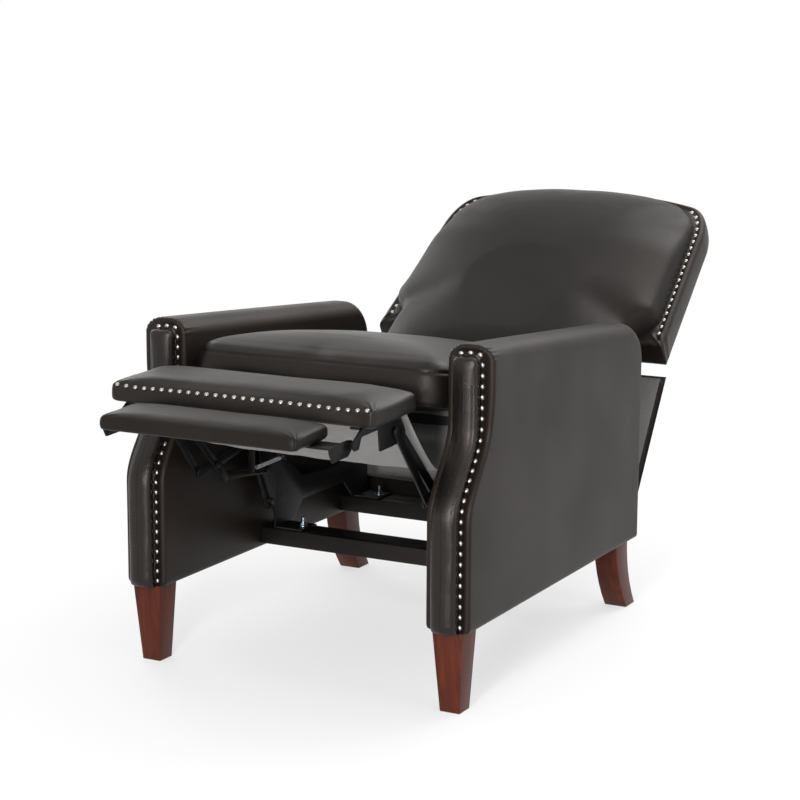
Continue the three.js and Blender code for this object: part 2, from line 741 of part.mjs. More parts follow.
function liftLink() {
  const link = cut(bar(liftPivot, controlLowPivot, liftLane), pinHole(liftPivot, liftLane));
  return joined(link, ...rivet(kneePivot, liftLane, extensionLane), ...rivet(controlLowPivot, liftLane, plateLane));
}

// The tube that ties both lift links together, with a tab for each return spring
function torqueTube() {
  const half = liftLane[0] - gap;
  const tube = pin(tubeCentre, torqueTubeRadius, -half, half);
  const tabs = [1, -1].map((side) => {
    const x = side * springX;
    return box(x - springTabHalf, x + springTabHalf, springFront[0] - gap - plateThick,
      springFront[0] - gap, springFront[1] - springTabHalf, tubeCentre[1]);
  });
  return joined(tube, ...tabs);
}

function extensionLink() {
  const link = bar(driveTopPivot, footPivot, extensionLane);
  return joined(cut(link, pinHole(kneePivot, extensionLane)),
    ...rivet(footPivot, extensionLane, liftLane));
}

// Each has a hole at its carried end and a low rivet head at the end that only guides
function guideLink(carried, guided, laneFaces) {
  const link = cut(bar(carried, guided, laneFaces, linkHalfWidth - laneGap), pinHole(carried, laneFaces));
  return joined(link, pin(guided, rivetHead, laneFaces[1] - plateThick / 2, laneFaces[1] + rivetHeadThick / 2));
}

function linkages() {
  placePair('mechanism_plate', mechanismPlate(), blackSteel);
  placePair('lift_link', liftLink(), blackSteel);
  placePair('drive_link', guideLink(driveLowPivot, driveTopPivot, liftLane), blackSteel);
  placePair('extension_link', extensionLink(), blackSteel);
  placePair('control_link', guideLink(controlLowPivot, controlFootPivot, plateLane), blackSteel);
  place('footrest_torque_tube', torqueTube(), blackSteel());
  placePair('rail_bolt', railBolt(frontBoltPlace), zinc);
  placePair('footrest_spring', returnSpring(), zinc);

  const rocker = cut(bar(backLinkLowPivot, backLinkTopPivot, liftLane, linkHalfWidth + laneGap),
    pinHole(backLinkLowPivot, liftLane));
  placePair('back_link', joined(rocker, ...rivet(backLinkTopPivot, liftLane, extensionLane)), blackSteel);
  const half = liftLane[0] - gap;
  place('back_link_tube', pin(backTubeCentre, backTubeRadius, -half, half), blackSteel());
}

// An extension spring lying along the chair: a straight lead, the curls, and a straight lead
function returnSpring() {
  const front = springFront[0];
  const rear = springRear[0];
  const coilFront = front + springHook;
  const coilRear = rear - springHook;
  const pitch = (coilRear - coilFront) / springCurls;
  const centre = [];
  const rise = springRear[1] - springFront[1];
  const heightAt = (y) => springFront[1] + rise * (y - front) / (rear - front);
  const meanRadius = springRadius - springWire;
  centre.push([springX, front, heightAt(front)], [springX, coilFront - springWire * 2, heightAt(coilFront)]);
  const turns = springCurls * springCurlSteps;
  for (let i = 0; i <= turns; i++) {
    const angle = i / springCurlSteps * 2 * Math.PI;
    const y = coilFront + pitch * i / springCurlSteps;
    const swell = Math.min(1, i / springCurlSteps, (turns - i) / springCurlSteps);
    centre.push([springX + swell * meanRadius * Math.cos(angle), y, heightAt(y) + swell * meanRadius * Math.sin(angle)]);
  }
  centre.push([springX, coilRear + springWire * 2, heightAt(coilRear)], [springX, rear, heightAt(rear)]);
  let least = Infinity;
  for (let i = 0; i < centre.length; i++) {
    for (let j = i + springCurlSteps - 2; j < centre.length; j++) {
      least = Math.min(least, Math.hypot(...centre[i].map((v, k) => v - centre[j][k])));
    }
  }
  console.log(`return spring: least gap between curls ${(least - 2 * springWire).toFixed(2)} mm`);
  const rings = centre.map((p, i) => {
    const before = new THREE.Vector3(...centre[Math.max(i - 1, 0)]);
    const after = new THREE.Vector3(...centre[Math.min(i + 1, centre.length - 1)]);
    const tangent = after.sub(before).normalize();
    const out = new THREE.Vector3(p[0] - springX, 0, p[2] - heightAt(p[1]));
    if (out.length() < springWire) out.set(1, 0, 0);
    const side = out.addScaledVector(tangent, -out.dot(tangent)).normalize();
    const up = tangent.clone().cross(side);
    return Array.from({ length: springWireSides }, (_, k) => {
      const angle = k / springWireSides * 2 * Math.PI;
      return new THREE.Vector3(...p).addScaledVector(side, springWire * Math.cos(angle))
        .addScaledVector(up, springWire * Math.sin(angle)).toArray();
    });
  });
  return loft(rings, [0, 2]);
}

// Cushion: nested closed loops of a rounded rectangle, from the bottom face up over the crown
function cushion(halfX, depth, thick, crown, crownShare, puff, corner, around = 40) {
  const loop = (inset, height, swell = 0) => Array.from({ length: around }, (_, i) => {
    const angle = (i + 0.5) / around * 2 * Math.PI;
    const a = halfX - inset + swell;
    const b = depth / 2 - inset + swell;
    const radius = Math.max(corner - inset, Math.min(a, b) * 0.1);
    return [...roundedPoint(a, b, radius, angle), height];
  });
  const least = Math.min(halfX, depth / 2);
  const over = (inset, share) => loop(inset, thick + crown * Math.pow(share, crownShare));
  const loops = [
    loop(corner * 0.3, 0), loop(0, thick * 0.12), loop(0, thick * 0.5, puff), loop(0, thick * 0.86),
    loop(corner * 0.12, thick * 0.97), over(corner * 0.4, 0.25), over(corner, 0.5), over(corner * 2, 0.8),
    over(least * 0.65, 0.97), over(least * 0.9, 1),
  ];
  return loft(loops, [0, 1]).translate(0, depth / 2, 0);
}

// A point on a rounded rectangle along a direction that sweeps its sides evenly
function roundedPoint(a, b, radius, angle) {
  const turn = (v) => Math.sign(v) * Math.pow(Math.abs(v), 0.55);
  const x = a * turn(Math.cos(angle));
  const y = b * turn(Math.sin(angle));
  const overX = Math.abs(x) - (a - radius);
  const overY = Math.abs(y) - (b - radius);
  if (overX <= 0 || overY <= 0) {
    const scale = Math.min(a / Math.max(Math.abs(x), 1e-9), b / Math.max(Math.abs(y), 1e-9));
    const px = x * scale;
    const py = y * scale;
    if (Math.abs(px) <= a - radius || Math.abs(py) <= b - radius) return [px, py];
    return cornerPoint(px, py, a, b, radius);
  }
  const scale = Math.min(a / Math.abs(x), b / Math.abs(y));
  return cornerPoint(x * scale, y * scale, a, b, radius);
}

function cornerPoint(x, y, a, b, radius) {
  const cx = a - radius;
  const cy = b - radius;
  const dx = Math.abs(x) - cx;
  const dy = Math.abs(y) - cy;
  const length = Math.hypot(dx, dy) || 1;
  return [Math.sign(x) * (cx + dx / length * radius), Math.sign(y) * (cy + dy / length * radius)];
}

// Seat: a group leaning back, its origin on the front top seam
function seat() {
  const group = new THREE.Group();
  group.position.set(0, -seatFront, seatEdgeHeight);
  group.rotation.x = -seatTilt * deg;
  chair.add(group);
  const half = armInner - seatSideGap;
  const pad = cushion(half, seatDepth, seatThick, seatCrown, seatCrownShare, seatPuff, seatCorner);
  place('seat_cushion', pad.translate(0, 0, -seatThick), leather(), group);
  const boardHalf = half - seatBoardInset;
  const boardTop = -seatThick - gap;
  const boardBottom = boardTop - seatBoardThick;
  place('seat_board', box(-boardHalf, boardHalf, seatBoardSetback, seatBoardSetback + seatBoardDepth,
    boardBottom, boardTop), timber(), group);

  group.updateMatrixWorld(true);
  const local = group.worldToLocal(new THREE.Vector3(0, seatPivot[0], seatPivot[1]));
  const pivot = [local.y, local.z];
  const middle = seatBoardSetback + seatBoardDepth * 0.3;
  const top = boardBottom - gap;
  const outline = shapeOf([
    [pivot[0] - seatBracketHalfFoot, pivot[1] - seatBracketHalfFoot * 0.4],
    [pivot[0] - seatBracketHalfFoot * 0.5, pivot[1] - seatBracketHalfFoot],
    [pivot[0] + seatBracketHalfFoot * 0.5, pivot[1] - seatBracketHalfFoot],
    [pivot[0] + seatBracketHalfFoot, pivot[1] - seatBracketHalfFoot * 0.4],
    [middle + seatBracketHalfTop, top - seatBracketHalfFoot], [middle + seatBracketHalfTop, top],
    [middle - seatBracketHalfTop, top], [middle - seatBracketHalfTop, top - seatBracketHalfFoot],
  ]);
  const flange = box(seatLane[0] - seatBracketHalfFoot * 2, seatLane[1],
    middle - seatBracketHalfTop, middle + seatBracketHalfTop, top - plateThick, top);
  placePair('seat_bracket', joined(slab(outline, ...seatLane), flange, ...rivet(pivot, seatLane, plateLane)),
    blackSteel, group);
  return group;
}

// Back outlines, in (across, height)
const backSide = (height) => wingBottomHalf
  + (shoulderHalf - wingBottomHalf) * (height - wingBottom) / (shoulderHeight - wingBottom);

function mirrorOutline(right) {
  const left = [...right].reverse().filter(([x]) => x > 1e-6).map(([x, z]) => [-x, z]);
  return [...right, ...left];
}

function curvePoints(p0, p1, p2, steps) {
  const curve = new THREE.QuadraticBezierCurve(...[p0, p1, p2].map((p) => new THREE.Vector2(...p)));
  return curve.getPoints(steps).map((p) => [p.x, p.y]);
}

function backCrest() {
  return [
    ...curvePoints([shoulderHalf, shoulderHeight], shoulderRound, shoulderTop, 6),
    ...curvePoints(shoulderTop, [crestRound, backTop], [0, backTop], 5).slice(1),
  ];
}

function backOutline(stem) {
  const right = [[stem, stemBottom], [stem, wingBottom], [wingBottomHalf, wingBottom], ...backCrest()];
  return shapeOf(mirrorOutline(right));
}

// The inner pad spreads from the space between the arms to the nails on the wings
const padSpread = (height) =>
  ease(clamp01((height - backPadSpreadLow) / (backPadSpreadHigh - backPadSpreadLow)));

function padSide(height) {
  const highHalf = backSide(height) - backPadInWing;
  return backPadLowHalf + (highHalf - backPadLowHalf) * padSpread(height);
}

function padOutline(grow) {
  const top = backTop - backPadTopInset;
  const heights = [backPadBottom - grow, backPadSpreadLow];
  for (const share of [0.25, 0.5, 0.75, 1]) {
    heights.push(backPadSpreadLow + (backPadSpreadHigh - backPadSpreadLow) * share);
  }
  const right = heights.map((z) => [padSide(z) + grow, z]);
  const cornerStart = padSide(backPadShoulder) + grow;
  const cornerEnd = [backPadCornerHalf + grow, backPadCornerTop + grow];
  const corner = curvePoints([cornerStart, backPadShoulder], [cornerStart, backPadTurn], cornerEnd, 5);
  const crest = curvePoints(cornerEnd, [crestRound, top + grow], [0, top + grow], 5);
  return mirrorOutline([...right, ...corner, ...crest.slice(1)]);
}

function backPad(baseDepth) {
  const outline = padOutline(0);
  const middle = (backPadBottom + backTop) / 2;
  const spine = (backTop - backPadBottom) / 2 - backPadLowHalf;
  // how deep the pad is above one point of its outline: boxy low down, round along the top
  const crownAt = (z, sideShare, topShare) => {
    const spread = padSpread(z);
    const soft = ease(clamp01((z - backPadSoftFrom) / (backPadShoulder - backPadSoftFrom)));
    const boxed = Math.pow(sideShare, backPadBoxShare + (1 - backPadBoxShare) * spread);
    return backPadCrown * (1 + backPadLumbarShare * (1 - spread)) * (boxed + (topShare - boxed) * soft);
  };
  // each loop draws the outline in towards a short spine on the centre line
  const loop = (share, sideShare, topShare) => outline.map(([x, z]) => {
    const core = middle + Math.max(-spine, Math.min(spine, z - middle));
    return [x * (1 - share), -backFace - crownAt(z, sideShare, topShare), z + (core - z) * share];
  });
  const crownLoops = [
    [0.008, 0.36, 0.1], [0.02, 0.56, 0.2], [0.06, 0.74, 0.38], [0.13, 0.86, 0.56],
    [0.25, 0.94, 0.75], [0.42, 0.975, 0.9], [0.65, 0.99, 0.98], [0.85, 1, 1],
  ];
  const loops = [
    outline.map(([x, z]) => [x, -baseDepth, z]),
    outline.map(([x, z]) => [x, -backFace, z]),
    ...crownLoops.map((shares) => loop(...shares)),
  ];
  return loft(loops, [0, 2]);
}

function back() {
  const group = new THREE.Group();
  group.rotation.x = -backLean * deg;
  chair.add(group);
  const wingRear = -backFace + wingThick;
  const boardFront = wingRear + gap;
  const boardRear = boardFront + backBoardThick;
  place('back_board', board(backOutline(stemHalf), boardFront, boardRear), timber(), group);
  const coverFront = boardRear + gap;
  place('outside_back_panel', board(backOutline(stemCoverHalf), coverFront, coverFront + outsideBackThick),
    leather(), group);
  place('back_cushion', backPad(-wingRear), leather(), group);

  const wings = board(backOutline(stemCoverHalf), -backFace, wingRear);
  const padRoom = board(shapeOf(padOutline(gap)), -backFace - cutOverrun, wingRear + cutOverrun);
  const keepLow = box(wingInner, overallWidth, -backFace - cutOverrun, wingRear + cutOverrun, wingBottom, backTop);
  placePair('wing_pad', cut(shared(wings, keepLow), padRoom), leather, group);
  placePair('back_nail_trim', backNailTrim(), pewter, group);

  group.updateMatrixWorld(true);
  const local = group.worldToLocal(new THREE.Vector3(0, backLinkTopPivot[0], backLinkTopPivot[1]));
  const pivot = [local.y, local.z];
  const reach = backBracketHalf;
  const front = boardFront;
  const rear = coverFront - gap;
  const outline = shapeOf([
    [pivot[0] + reach, pivot[1]], [rear, stemBottom], [rear, backBracketTop], [front, backBracketTop],
    [front, stemBottom], [pivot[0] - reach * 0.7, pivot[1] + reach * 0.7], [pivot[0] - reach, pivot[1]],
    [pivot[0] - reach * 0.7, pivot[1] - reach * 0.7], [pivot[0], pivot[1] - reach],
    [pivot[0] + reach * 0.7, pivot[1] - reach * 0.7],
  ]);
  const bracket = cut(slab(outline, ...extensionLane), pinHole(pivot, extensionLane));
  placePair('back_bracket', bracket, blackSteel, group);
}

function backNailTrim() {
  const edge = [[backSide(backNailBottom), backNailBottom], [shoulderHalf, shoulderHeight],
    ...curvePoints([shoulderHalf, shoulderHeight], shoulderRound, shoulderTop, 6).slice(1)];
  const path = edge.map(([x, z], i) => {
    const [ax, az] = edge[Math.max(i - 1, 0)];
    const [bx, bz] = edge[Math.min(i + 1, edge.length - 1)];
    const length = Math.hypot(bx - ax, bz - az);
    const inward = [-(bz - az) / length, (bx - ax) / length];
    return {
      at: new THREE.Vector3(x + inward[0] * backNailInset, -backFace, z + inward[1] * backNailInset),
      normal: new THREE.Vector3(0, -1, 0),
      across: new THREE.Vector3(-inward[0], 0, -inward[1]),
    };
  });
  return nailTape(path, nailRadius, nailPitch);
}

// Footrest boards: a plywood board, a crowned pad on it, in a group at the top front edge
function restBoard(name, front, topHeight, tilt, half, depth, boardThick, padThick, crown, corner) {
  const group = new THREE.Group();
  group.position.set(0, -front, topHeight);
  group.rotation.x = tilt * deg;
  chair.add(group);
  group.updateMatrixWorld(true);
  const boardTop = -padThick - gap;
  const inset = corner * 0.3;
  const plank = box(-half + inset, half - inset, inset, depth - inset, boardTop - boardThick, boardTop);
  place(`${name}_board`, plank, timber(), group);
  const pad = cushion(half, depth, padThick, crown, 1, 0, corner, 36).translate(0, 0, -padThick);
  place(`${name}_pad`, pad, leather(), group);
  return { group, underside: boardTop - boardThick - gap };
}

function localPivot(group, [y, z]) {
  const local = group.worldToLocal(new THREE.Vector3(0, y, z));
  return [local.y, local.z];
}

function footrest() {
  const { group, underside } = restBoard('footrest', footFront, footTopHeight, footTilt, footHalf, footDepth,
    footBoardThick, footPadThick, footPadCrown, footCorner);
  const foot = localPivot(group, footPivot);
  const control = localPivot(group, controlFootPivot);
  const flip = localPivot(group, flipperPivot);
  const reach = linkHalfWidth + laneGap;
  const neck = underside - footBracketNeck;
  const deep = control[0] - footBracketFront;
  const low = control[1] - footBracketDrop;
  const outline = shapeOf([
    [flip[0] - reach, flip[1]], [flip[0] - reach * 0.6, flip[1] - reach * 0.8],
    [flip[0] + reach * 0.6, flip[1] - reach * 0.8], [flip[0] + reach * 1.5, neck],
    [deep, neck], [deep + reach * 0.3, low], [foot[0], low], [foot[0] + reach * 0.8, foot[1] - reach * 0.6],
    [foot[0] + reach, foot[1]], [foot[0] + reach * 0.6, foot[1] + reach * 0.8], [foot[0] - reach, underside],
    [reach, underside], [flip[0] - reach * 0.6, flip[1] + reach * 0.7],
  ]);
  const flange = box(liftLane[0] - footBracketDepth / 2, liftLane[1], reach, foot[0] - reach,
    underside - plateThick, underside);
  const bracket = cut(slab(outline, ...liftLane), pinHole(foot, liftLane));
  placePair('footrest_bracket', joined(flange, bracket, ...rivet(flip, liftLane, flipperLane)), blackSteel, group);

  const row = [-1, 1].map((side) => ({
    at: new THREE.Vector3(side * (footHalf - footNailInset), footNailInset, footRim(footNailInset)),
    normal: new THREE.Vector3(0, -footNormalShare, 1).normalize(),
    across: new THREE.Vector3(0, 1, footNormalShare).normalize(),
  }));
  const pitch = row[0].at.distanceTo(row[1].at) / footNailCount;
  place('footrest_nail_trim', nailTape(row, footNailRadius, pitch, tapeWidth / 2), pewter(), group);
  return group;
}

// Height of the footrest pad near its rim, which rises from the edge towards the crown
const footNormalShare = footPadCrown * 0.25 / (footCorner * 0.28);
const footRim = (inset) => (inset - footCorner * 0.12) * footNormalShare;

function flipper() {
  const { group, underside } = restBoard('flipper', flipFront, flipTopHeight, flipTilt, flipHalf, flipDepth,
    flipBoardThick, flipPadThick, flipPadCrown, flipCorner);
  const pivot = localPivot(group, flipperPivot);
  const reach = linkHalfWidth * 0.9;
  const tip = flipDepth * (1 - flipBracketReachShare);
  const outline = shapeOf([
    [pivot[0] + reach, pivot[1]], [pivot[0] + reach * 0.6, pivot[1] + reach * 0.7], [pivot[0] - reach, underside],
    [tip, underside], [tip, underside - reach], [tip + reach, pivot[1] - flipBracketDrop],
    [pivot[0] - reach, pivot[1] - flipBracketDrop], [pivot[0] + reach * 0.7, pivot[1] - reach * 0.7],
  ]);
  const flange = box(flipHalf - footBracketDepth, flipperLane[1], tip, flipDepth - flipCorner,
    underside - plateThick, underside);
  placePair('flipper_bracket', cut(joined(slab(outline, ...flipperLane), flange), pinHole(pivot, flipperLane)),
    blackSteel, group);
}

// Footrest apron: hangs from the rear of the footrest board, over the links, and up to the seat board
function footrestApron(footGroup, seatGroup) {
  const inChair = (group, y, z) => {
    const at = group.localToWorld(new THREE.Vector3(0, y, z));
    return [at.y, at.z];
  };
  const footRear = footDepth - footCorner * 0.3 + gap + apronThick / 2;
  const seatFace = seatBoardSetback - gap - apronThick / 2;
  const clear = gap + apronThick;
  const link = [kneePivot[0] - footPivot[0], kneePivot[1] - footPivot[1]];
  const over = (share) => {
    const [y, z] = between(footPivot, kneePivot, share);
    const lift = apronOverLink / Math.hypot(...link);
    return [y - link[1] * lift, z + link[0] * lift];
  };
  const lowest = [kneePivot[0] + linkHalfWidth, kneePivot[1] + apronSag];
  const hung = new THREE.CatmullRomCurve3([
    inChair(footGroup, footRear, -footPadThick - footBoardThick),
    over(apronHighShare), over(apronLowShare), lowest,
    [lowest[0] + apronTurn, lowest[1] + linkHalfWidth],
    inChair(seatGroup, seatFace, -seatThick - seatBoardThick),
  ].map(([y, z]) => new THREE.Vector3(0, y, z)), false, 'centripetal');
  const path = [
    inChair(footGroup, footRear, -footPadThick - clear),
    ...hung.getPoints(apronSteps).map((p) => [p.y, p.z]),
    inChair(seatGroup, seatFace, -seatThick - clear),
  ];
  const side = (half) => path.map(([y, z], i) => {
    const before = path[Math.max(i - 1, 0)];
    const after = path[Math.min(i + 1, path.length - 1)];
    const length = Math.hypot(after[0] - before[0], after[1] - before[1]);
    return [y - (after[1] - before[1]) / length * half, z + (after[0] - before[0]) / length * half];
  });
  const outline = [...side(apronThick / 2), ...side(-apronThick / 2).reverse()];
  const half = armInner - seatSideGap - seatBoardInset;
  place('footrest_apron', slab(shapeOf(outline), -half, half), greyCloth());
}

// Rear flap: a lined panel on a hinge along the back rail
function rearFlap() {
  const group = new THREE.Group();
  group.position.set(0, flapPivot[0], flapPivot[1]);
  group.rotation.x = -flapLean * deg;
  chair.add(group);
  const thick = flapThick + flapLining;
  place('rear_flap_lining', box(-flapHalf, flapHalf, -thick / 2, -thick / 2 + flapLining - gap,
    hingeKnuckle + gap, flapLength), greyCloth(), group);
  place('rear_flap_panel', box(-flapHalf, flapHalf, -thick / 2 + flapLining, thick / 2,
    hingeKnuckle + gap, flapLength), leather(), group);
  const knuckle = pin(flapPivot, hingeKnuckle, -hingeHalf, hingeHalf);
  const leafFront = armRear + gap;
  const leaf = box(-hingeHalf, hingeHalf, leafFront, leafFront + hingeLeafThick,
    flapPivot[1] - hingeLeafThick, flapPivot[1] + hingeLeafTall);
  const web = box(-hingeHalf, hingeHalf, leafFront, flapPivot[0], flapPivot[1] - hingeLeafThick, flapPivot[1]);
  place('flap_hinge', joined(knuckle, leaf, web), blackSteel());
}

armParts();
placePair('front_leg', frontLeg(), mahogany);
placePair('rear_leg', rearLeg(), mahogany);
rails();
linkages();
const seatGroup = seat();
back();
const footGroup = footrest();
flipper();
footrestApron(footGroup, seatGroup);
rearFlap();

// The origin stands on the floor, under the middle of the whole chair
chair.updateMatrixWorld(true);
const extent = new THREE.Box3().setFromObject(chair);
chair.position.y = -(extent.min.y + extent.max.y) / 2;

const recliner = new THREE.Group();
recliner.add(chair);
recliner.userData.hinges = {
  shift: chair.position.y,
  liftPivot, kneePivot, footPivot, driveLowPivot, driveTopPivot, controlLowPivot, controlFootPivot,
  flipperPivot, seatPivot, backLinkLowPivot, backLinkTopPivot, flapPivot,
};

export default recliner;
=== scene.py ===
import math
import bmesh
import bpy
import numpy
from mathutils import Matrix, Vector, noise
from mathutils.bvhtree import BVHTree
from mathutils.kdtree import KDTree


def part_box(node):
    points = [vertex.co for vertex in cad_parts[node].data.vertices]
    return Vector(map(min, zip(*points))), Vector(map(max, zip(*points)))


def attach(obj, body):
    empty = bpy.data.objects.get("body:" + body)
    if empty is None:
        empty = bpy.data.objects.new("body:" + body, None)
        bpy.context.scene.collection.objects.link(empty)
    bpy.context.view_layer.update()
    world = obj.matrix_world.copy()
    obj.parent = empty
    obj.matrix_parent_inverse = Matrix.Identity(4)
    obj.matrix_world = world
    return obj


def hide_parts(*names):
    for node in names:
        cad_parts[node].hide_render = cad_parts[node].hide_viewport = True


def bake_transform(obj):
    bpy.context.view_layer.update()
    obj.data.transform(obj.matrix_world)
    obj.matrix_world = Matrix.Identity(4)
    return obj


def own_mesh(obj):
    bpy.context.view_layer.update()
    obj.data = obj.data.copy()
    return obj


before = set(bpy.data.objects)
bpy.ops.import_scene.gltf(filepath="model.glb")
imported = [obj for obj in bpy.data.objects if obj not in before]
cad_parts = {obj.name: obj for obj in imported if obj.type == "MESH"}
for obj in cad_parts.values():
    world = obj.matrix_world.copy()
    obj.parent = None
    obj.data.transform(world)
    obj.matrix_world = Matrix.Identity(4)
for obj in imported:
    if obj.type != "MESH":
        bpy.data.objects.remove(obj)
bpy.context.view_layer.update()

print("frame loaded")

mm = 0.001
rearOfArms = 370
# sizes below are in millimetres from the middle of the seat
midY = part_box("arm_cover_left")[1][1] - rearOfArms * mm


def at(x, y, z):
    return Vector((x * mm, y * mm + midY, z * mm))


def leaning(x, y, z, degrees):
    return Matrix.Translation(at(x, y, z)) @ Matrix.Rotation(math.radians(degrees), 4, "X")


seatSpace = leaning(0, -330, 586, -9)
backSpace = leaning(0, 0, 0, -54.4)
footSpace = leaning(0, -578, 559, 2)
flipSpace = leaning(0, -711, 530, 2.5)
flapSpace = leaning(0, 388, 158, -33.4)


def inSpace(space, x, y, z):
    return space @ Vector((x * mm, y * mm, z * mm))


def clamp(t, low=0, high=1):
    return min(max(t, low), high)


def ease(t):
    t = clamp(t)
    return t * t * (3 - 2 * t)


def mix(a, b, t):
    return a + (b - a) * t


def waver(x, y, z):
    return noise.noise(Vector((x, y, z)))


# Selecting and finishing pieces

def choose(*pieces):
    if bpy.context.object and bpy.context.object.mode != "OBJECT":
        bpy.ops.object.mode_set(mode="OBJECT")
    bpy.ops.object.select_all(action="DESELECT")
    for piece in pieces:
        piece.select_set(True)
    if pieces:
        bpy.context.view_layer.objects.active = pieces[0]


def placed(piece):
    choose(piece)
    bpy.ops.object.transform_apply(location=True, rotation=True, scale=True)
    return piece


def edited(piece, **steps):
    choose(piece)
    bpy.ops.object.mode_set(mode="EDIT")
    bpy.ops.mesh.select_all(action="SELECT")
    for step, settings in steps.items():
        getattr(bpy.ops.mesh, step)(**settings)
    bpy.ops.object.mode_set(mode="OBJECT")
    return piece


def sealed(piece, distance=0.02):
    return edited(piece, remove_doubles={"threshold": distance * mm}, normals_make_consistent={"inside": False})


def applied(piece, kind, **settings):
    choose(piece)
    modifier = piece.modifiers.new(kind.title(), kind)
    for key, value in settings.items():
        setattr(modifier, key, value)
    bpy.ops.object.modifier_apply(modifier=modifier.name)
    return piece


def bevelled(piece, width, segments, angle):
    return applied(piece, "BEVEL", width=width * mm, segments=segments, limit_method="ANGLE",
                   angle_limit=math.radians(angle))


def refined(piece):
    return applied(piece, "SUBSURF", levels=1, render_levels=1)


def smooth(piece, angle=None):
    choose(piece)
    if angle is None:
        bpy.ops.object.shade_smooth()
    else:
        bpy.ops.object.shade_smooth_by_angle(angle=math.radians(angle))
    return piece


def newPiece(name, data):
    piece = bpy.data.objects.new(name, data)
    bpy.context.collection.objects.link(piece)
    return piece


def duplicate(piece, name):
    return newPiece(name, piece.data.copy())


def joinedAs(name, pieces):
    choose(*pieces)
    if len(pieces) > 1:
        bpy.ops.object.join()
    whole = bpy.context.object
    whole.name = name
    return whole


def dressed(piece, name, body, material, slot, *nodes):
    piece.name = name
    piece.data.materials.clear()
    piece.data.materials.append(material)
    if body:
        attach(piece, body)
    if nodes:
        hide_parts(*nodes)
    return piece


def shapedGrid(name, columns, rows, place):
    choose()
    bpy.ops.mesh.primitive_grid_add(x_subdivisions=columns, y_subdivisions=rows, size=1, location=(0.5, 0.5, 0))
    sheet = placed(bpy.context.object)
    sheet.name = name
    for vertex in sheet.data.vertices:
        vertex.co = place(clamp(vertex.co.x), clamp(vertex.co.y))
    return smooth(sheet)


def box(name, low, high, space):
    size = [b - a for a, b in zip(low, high)]
    middle = [(a + b) / 2 for a, b in zip(low, high)]
    choose()
    bpy.ops.mesh.primitive_cube_add(size=1)
    piece = bpy.context.object
    piece.name = name
    piece.scale = [s * mm for s in size]
    piece.location = [m * mm for m in middle]
    placed(piece).data.transform(space)
    return piece


# Shader node groups and materials

def nodeGroup(name, inputs, outputs):
    group = bpy.data.node_groups.new(name, "ShaderNodeTree")
    for label, kind, value in inputs:
        socket = group.interface.new_socket(name=label, in_out="INPUT", socket_type=kind)
        if value is not None:
            socket.default_value = value
    for label, kind in outputs:
        group.interface.new_socket(name=label, in_out="OUTPUT", socket_type=kind)
    return group, group.nodes.new("NodeGroupInput"), group.nodes.new("NodeGroupOutput")


def add(tree, kind, inputs=None, **settings):
    node = tree.nodes.new(kind)
    for key, value in settings.items():
        setattr(node, key, value)
    for key, value in (inputs or {}).items():
        if isinstance(value, bpy.types.NodeSocket):
            tree.links.new(value, node.inputs[key])
        else:
            node.inputs[key].default_value = value
    return node


def maths(tree, operation, a, b=0.0):
    return add(tree, "ShaderNodeMath", {0: a, 1: b}, operation=operation).outputs[0]


def ranged(tree, value, low, high, newLow, newHigh):
    ends = {"Value": value, "From Min": low, "From Max": high, "To Min": newLow, "To Max": newHigh}
    return add(tree, "ShaderNodeMapRange", ends).outputs["Result"]


def blended(tree, factor, first, second):
    ends = {0: factor, 6: (*first, 1), 7: (*second, 1)}
    return add(tree, "ShaderNodeMix", ends, data_type="RGBA").outputs[2]


def noisy(tree, vector, scale, detail, **shape):
    return add(tree, "ShaderNodeTexNoise", {"Vector": vector, "Scale": scale, "Detail": detail, **shape})


def makeHideGrain():
    group, into, out = nodeGroup("hideGrain", [
        ("Vector", "NodeSocketVector", None), ("Pebble Size", "NodeSocketFloat", 0.0012),
        ("Wrinkle", "NodeSocketFloat", 0.3)], [("Height", "NodeSocketFloat"), ("Cloud", "NodeSocketFloat")])
    where = into.outputs["Vector"]
    scale = maths(group, "DIVIDE", 1.0, into.outputs["Pebble Size"])
    warp = noisy(group, where, 260.0, 2.0)
    shift = add(group, "ShaderNodeVectorMath", {0: warp.outputs["Color"], 1: (0.0016, 0.0016, 0.0016)},
                operation="MULTIPLY").outputs[0]
    moved = add(group, "ShaderNodeVectorMath", {0: where, 1: shift}, operation="ADD").outputs[0]
    cells = add(group, "ShaderNodeTexVoronoi", {"Vector": moved, "Scale": scale}, feature="DISTANCE_TO_EDGE")
    pebble = ranged(group, cells.outputs["Distance"], 0.0, 0.22, 0.0, 1.0)
    creases = noisy(group, where, 38.0, 6.0, Roughness=0.62, Distortion=0.9)
    ridge = maths(group, "ABSOLUTE", maths(group, "SUBTRACT", creases.outputs[0], 0.5))
    wrinkle = maths(group, "MULTIPLY", ranged(group, ridge, 0.0, 0.05, 0.0, 1.0), into.outputs["Wrinkle"])
    group.links.new(maths(group, "ADD", pebble, wrinkle), out.inputs["Height"])
    group.links.new(noisy(group, where, 5.0, 3.0).outputs[0], out.inputs["Cloud"])
    return group


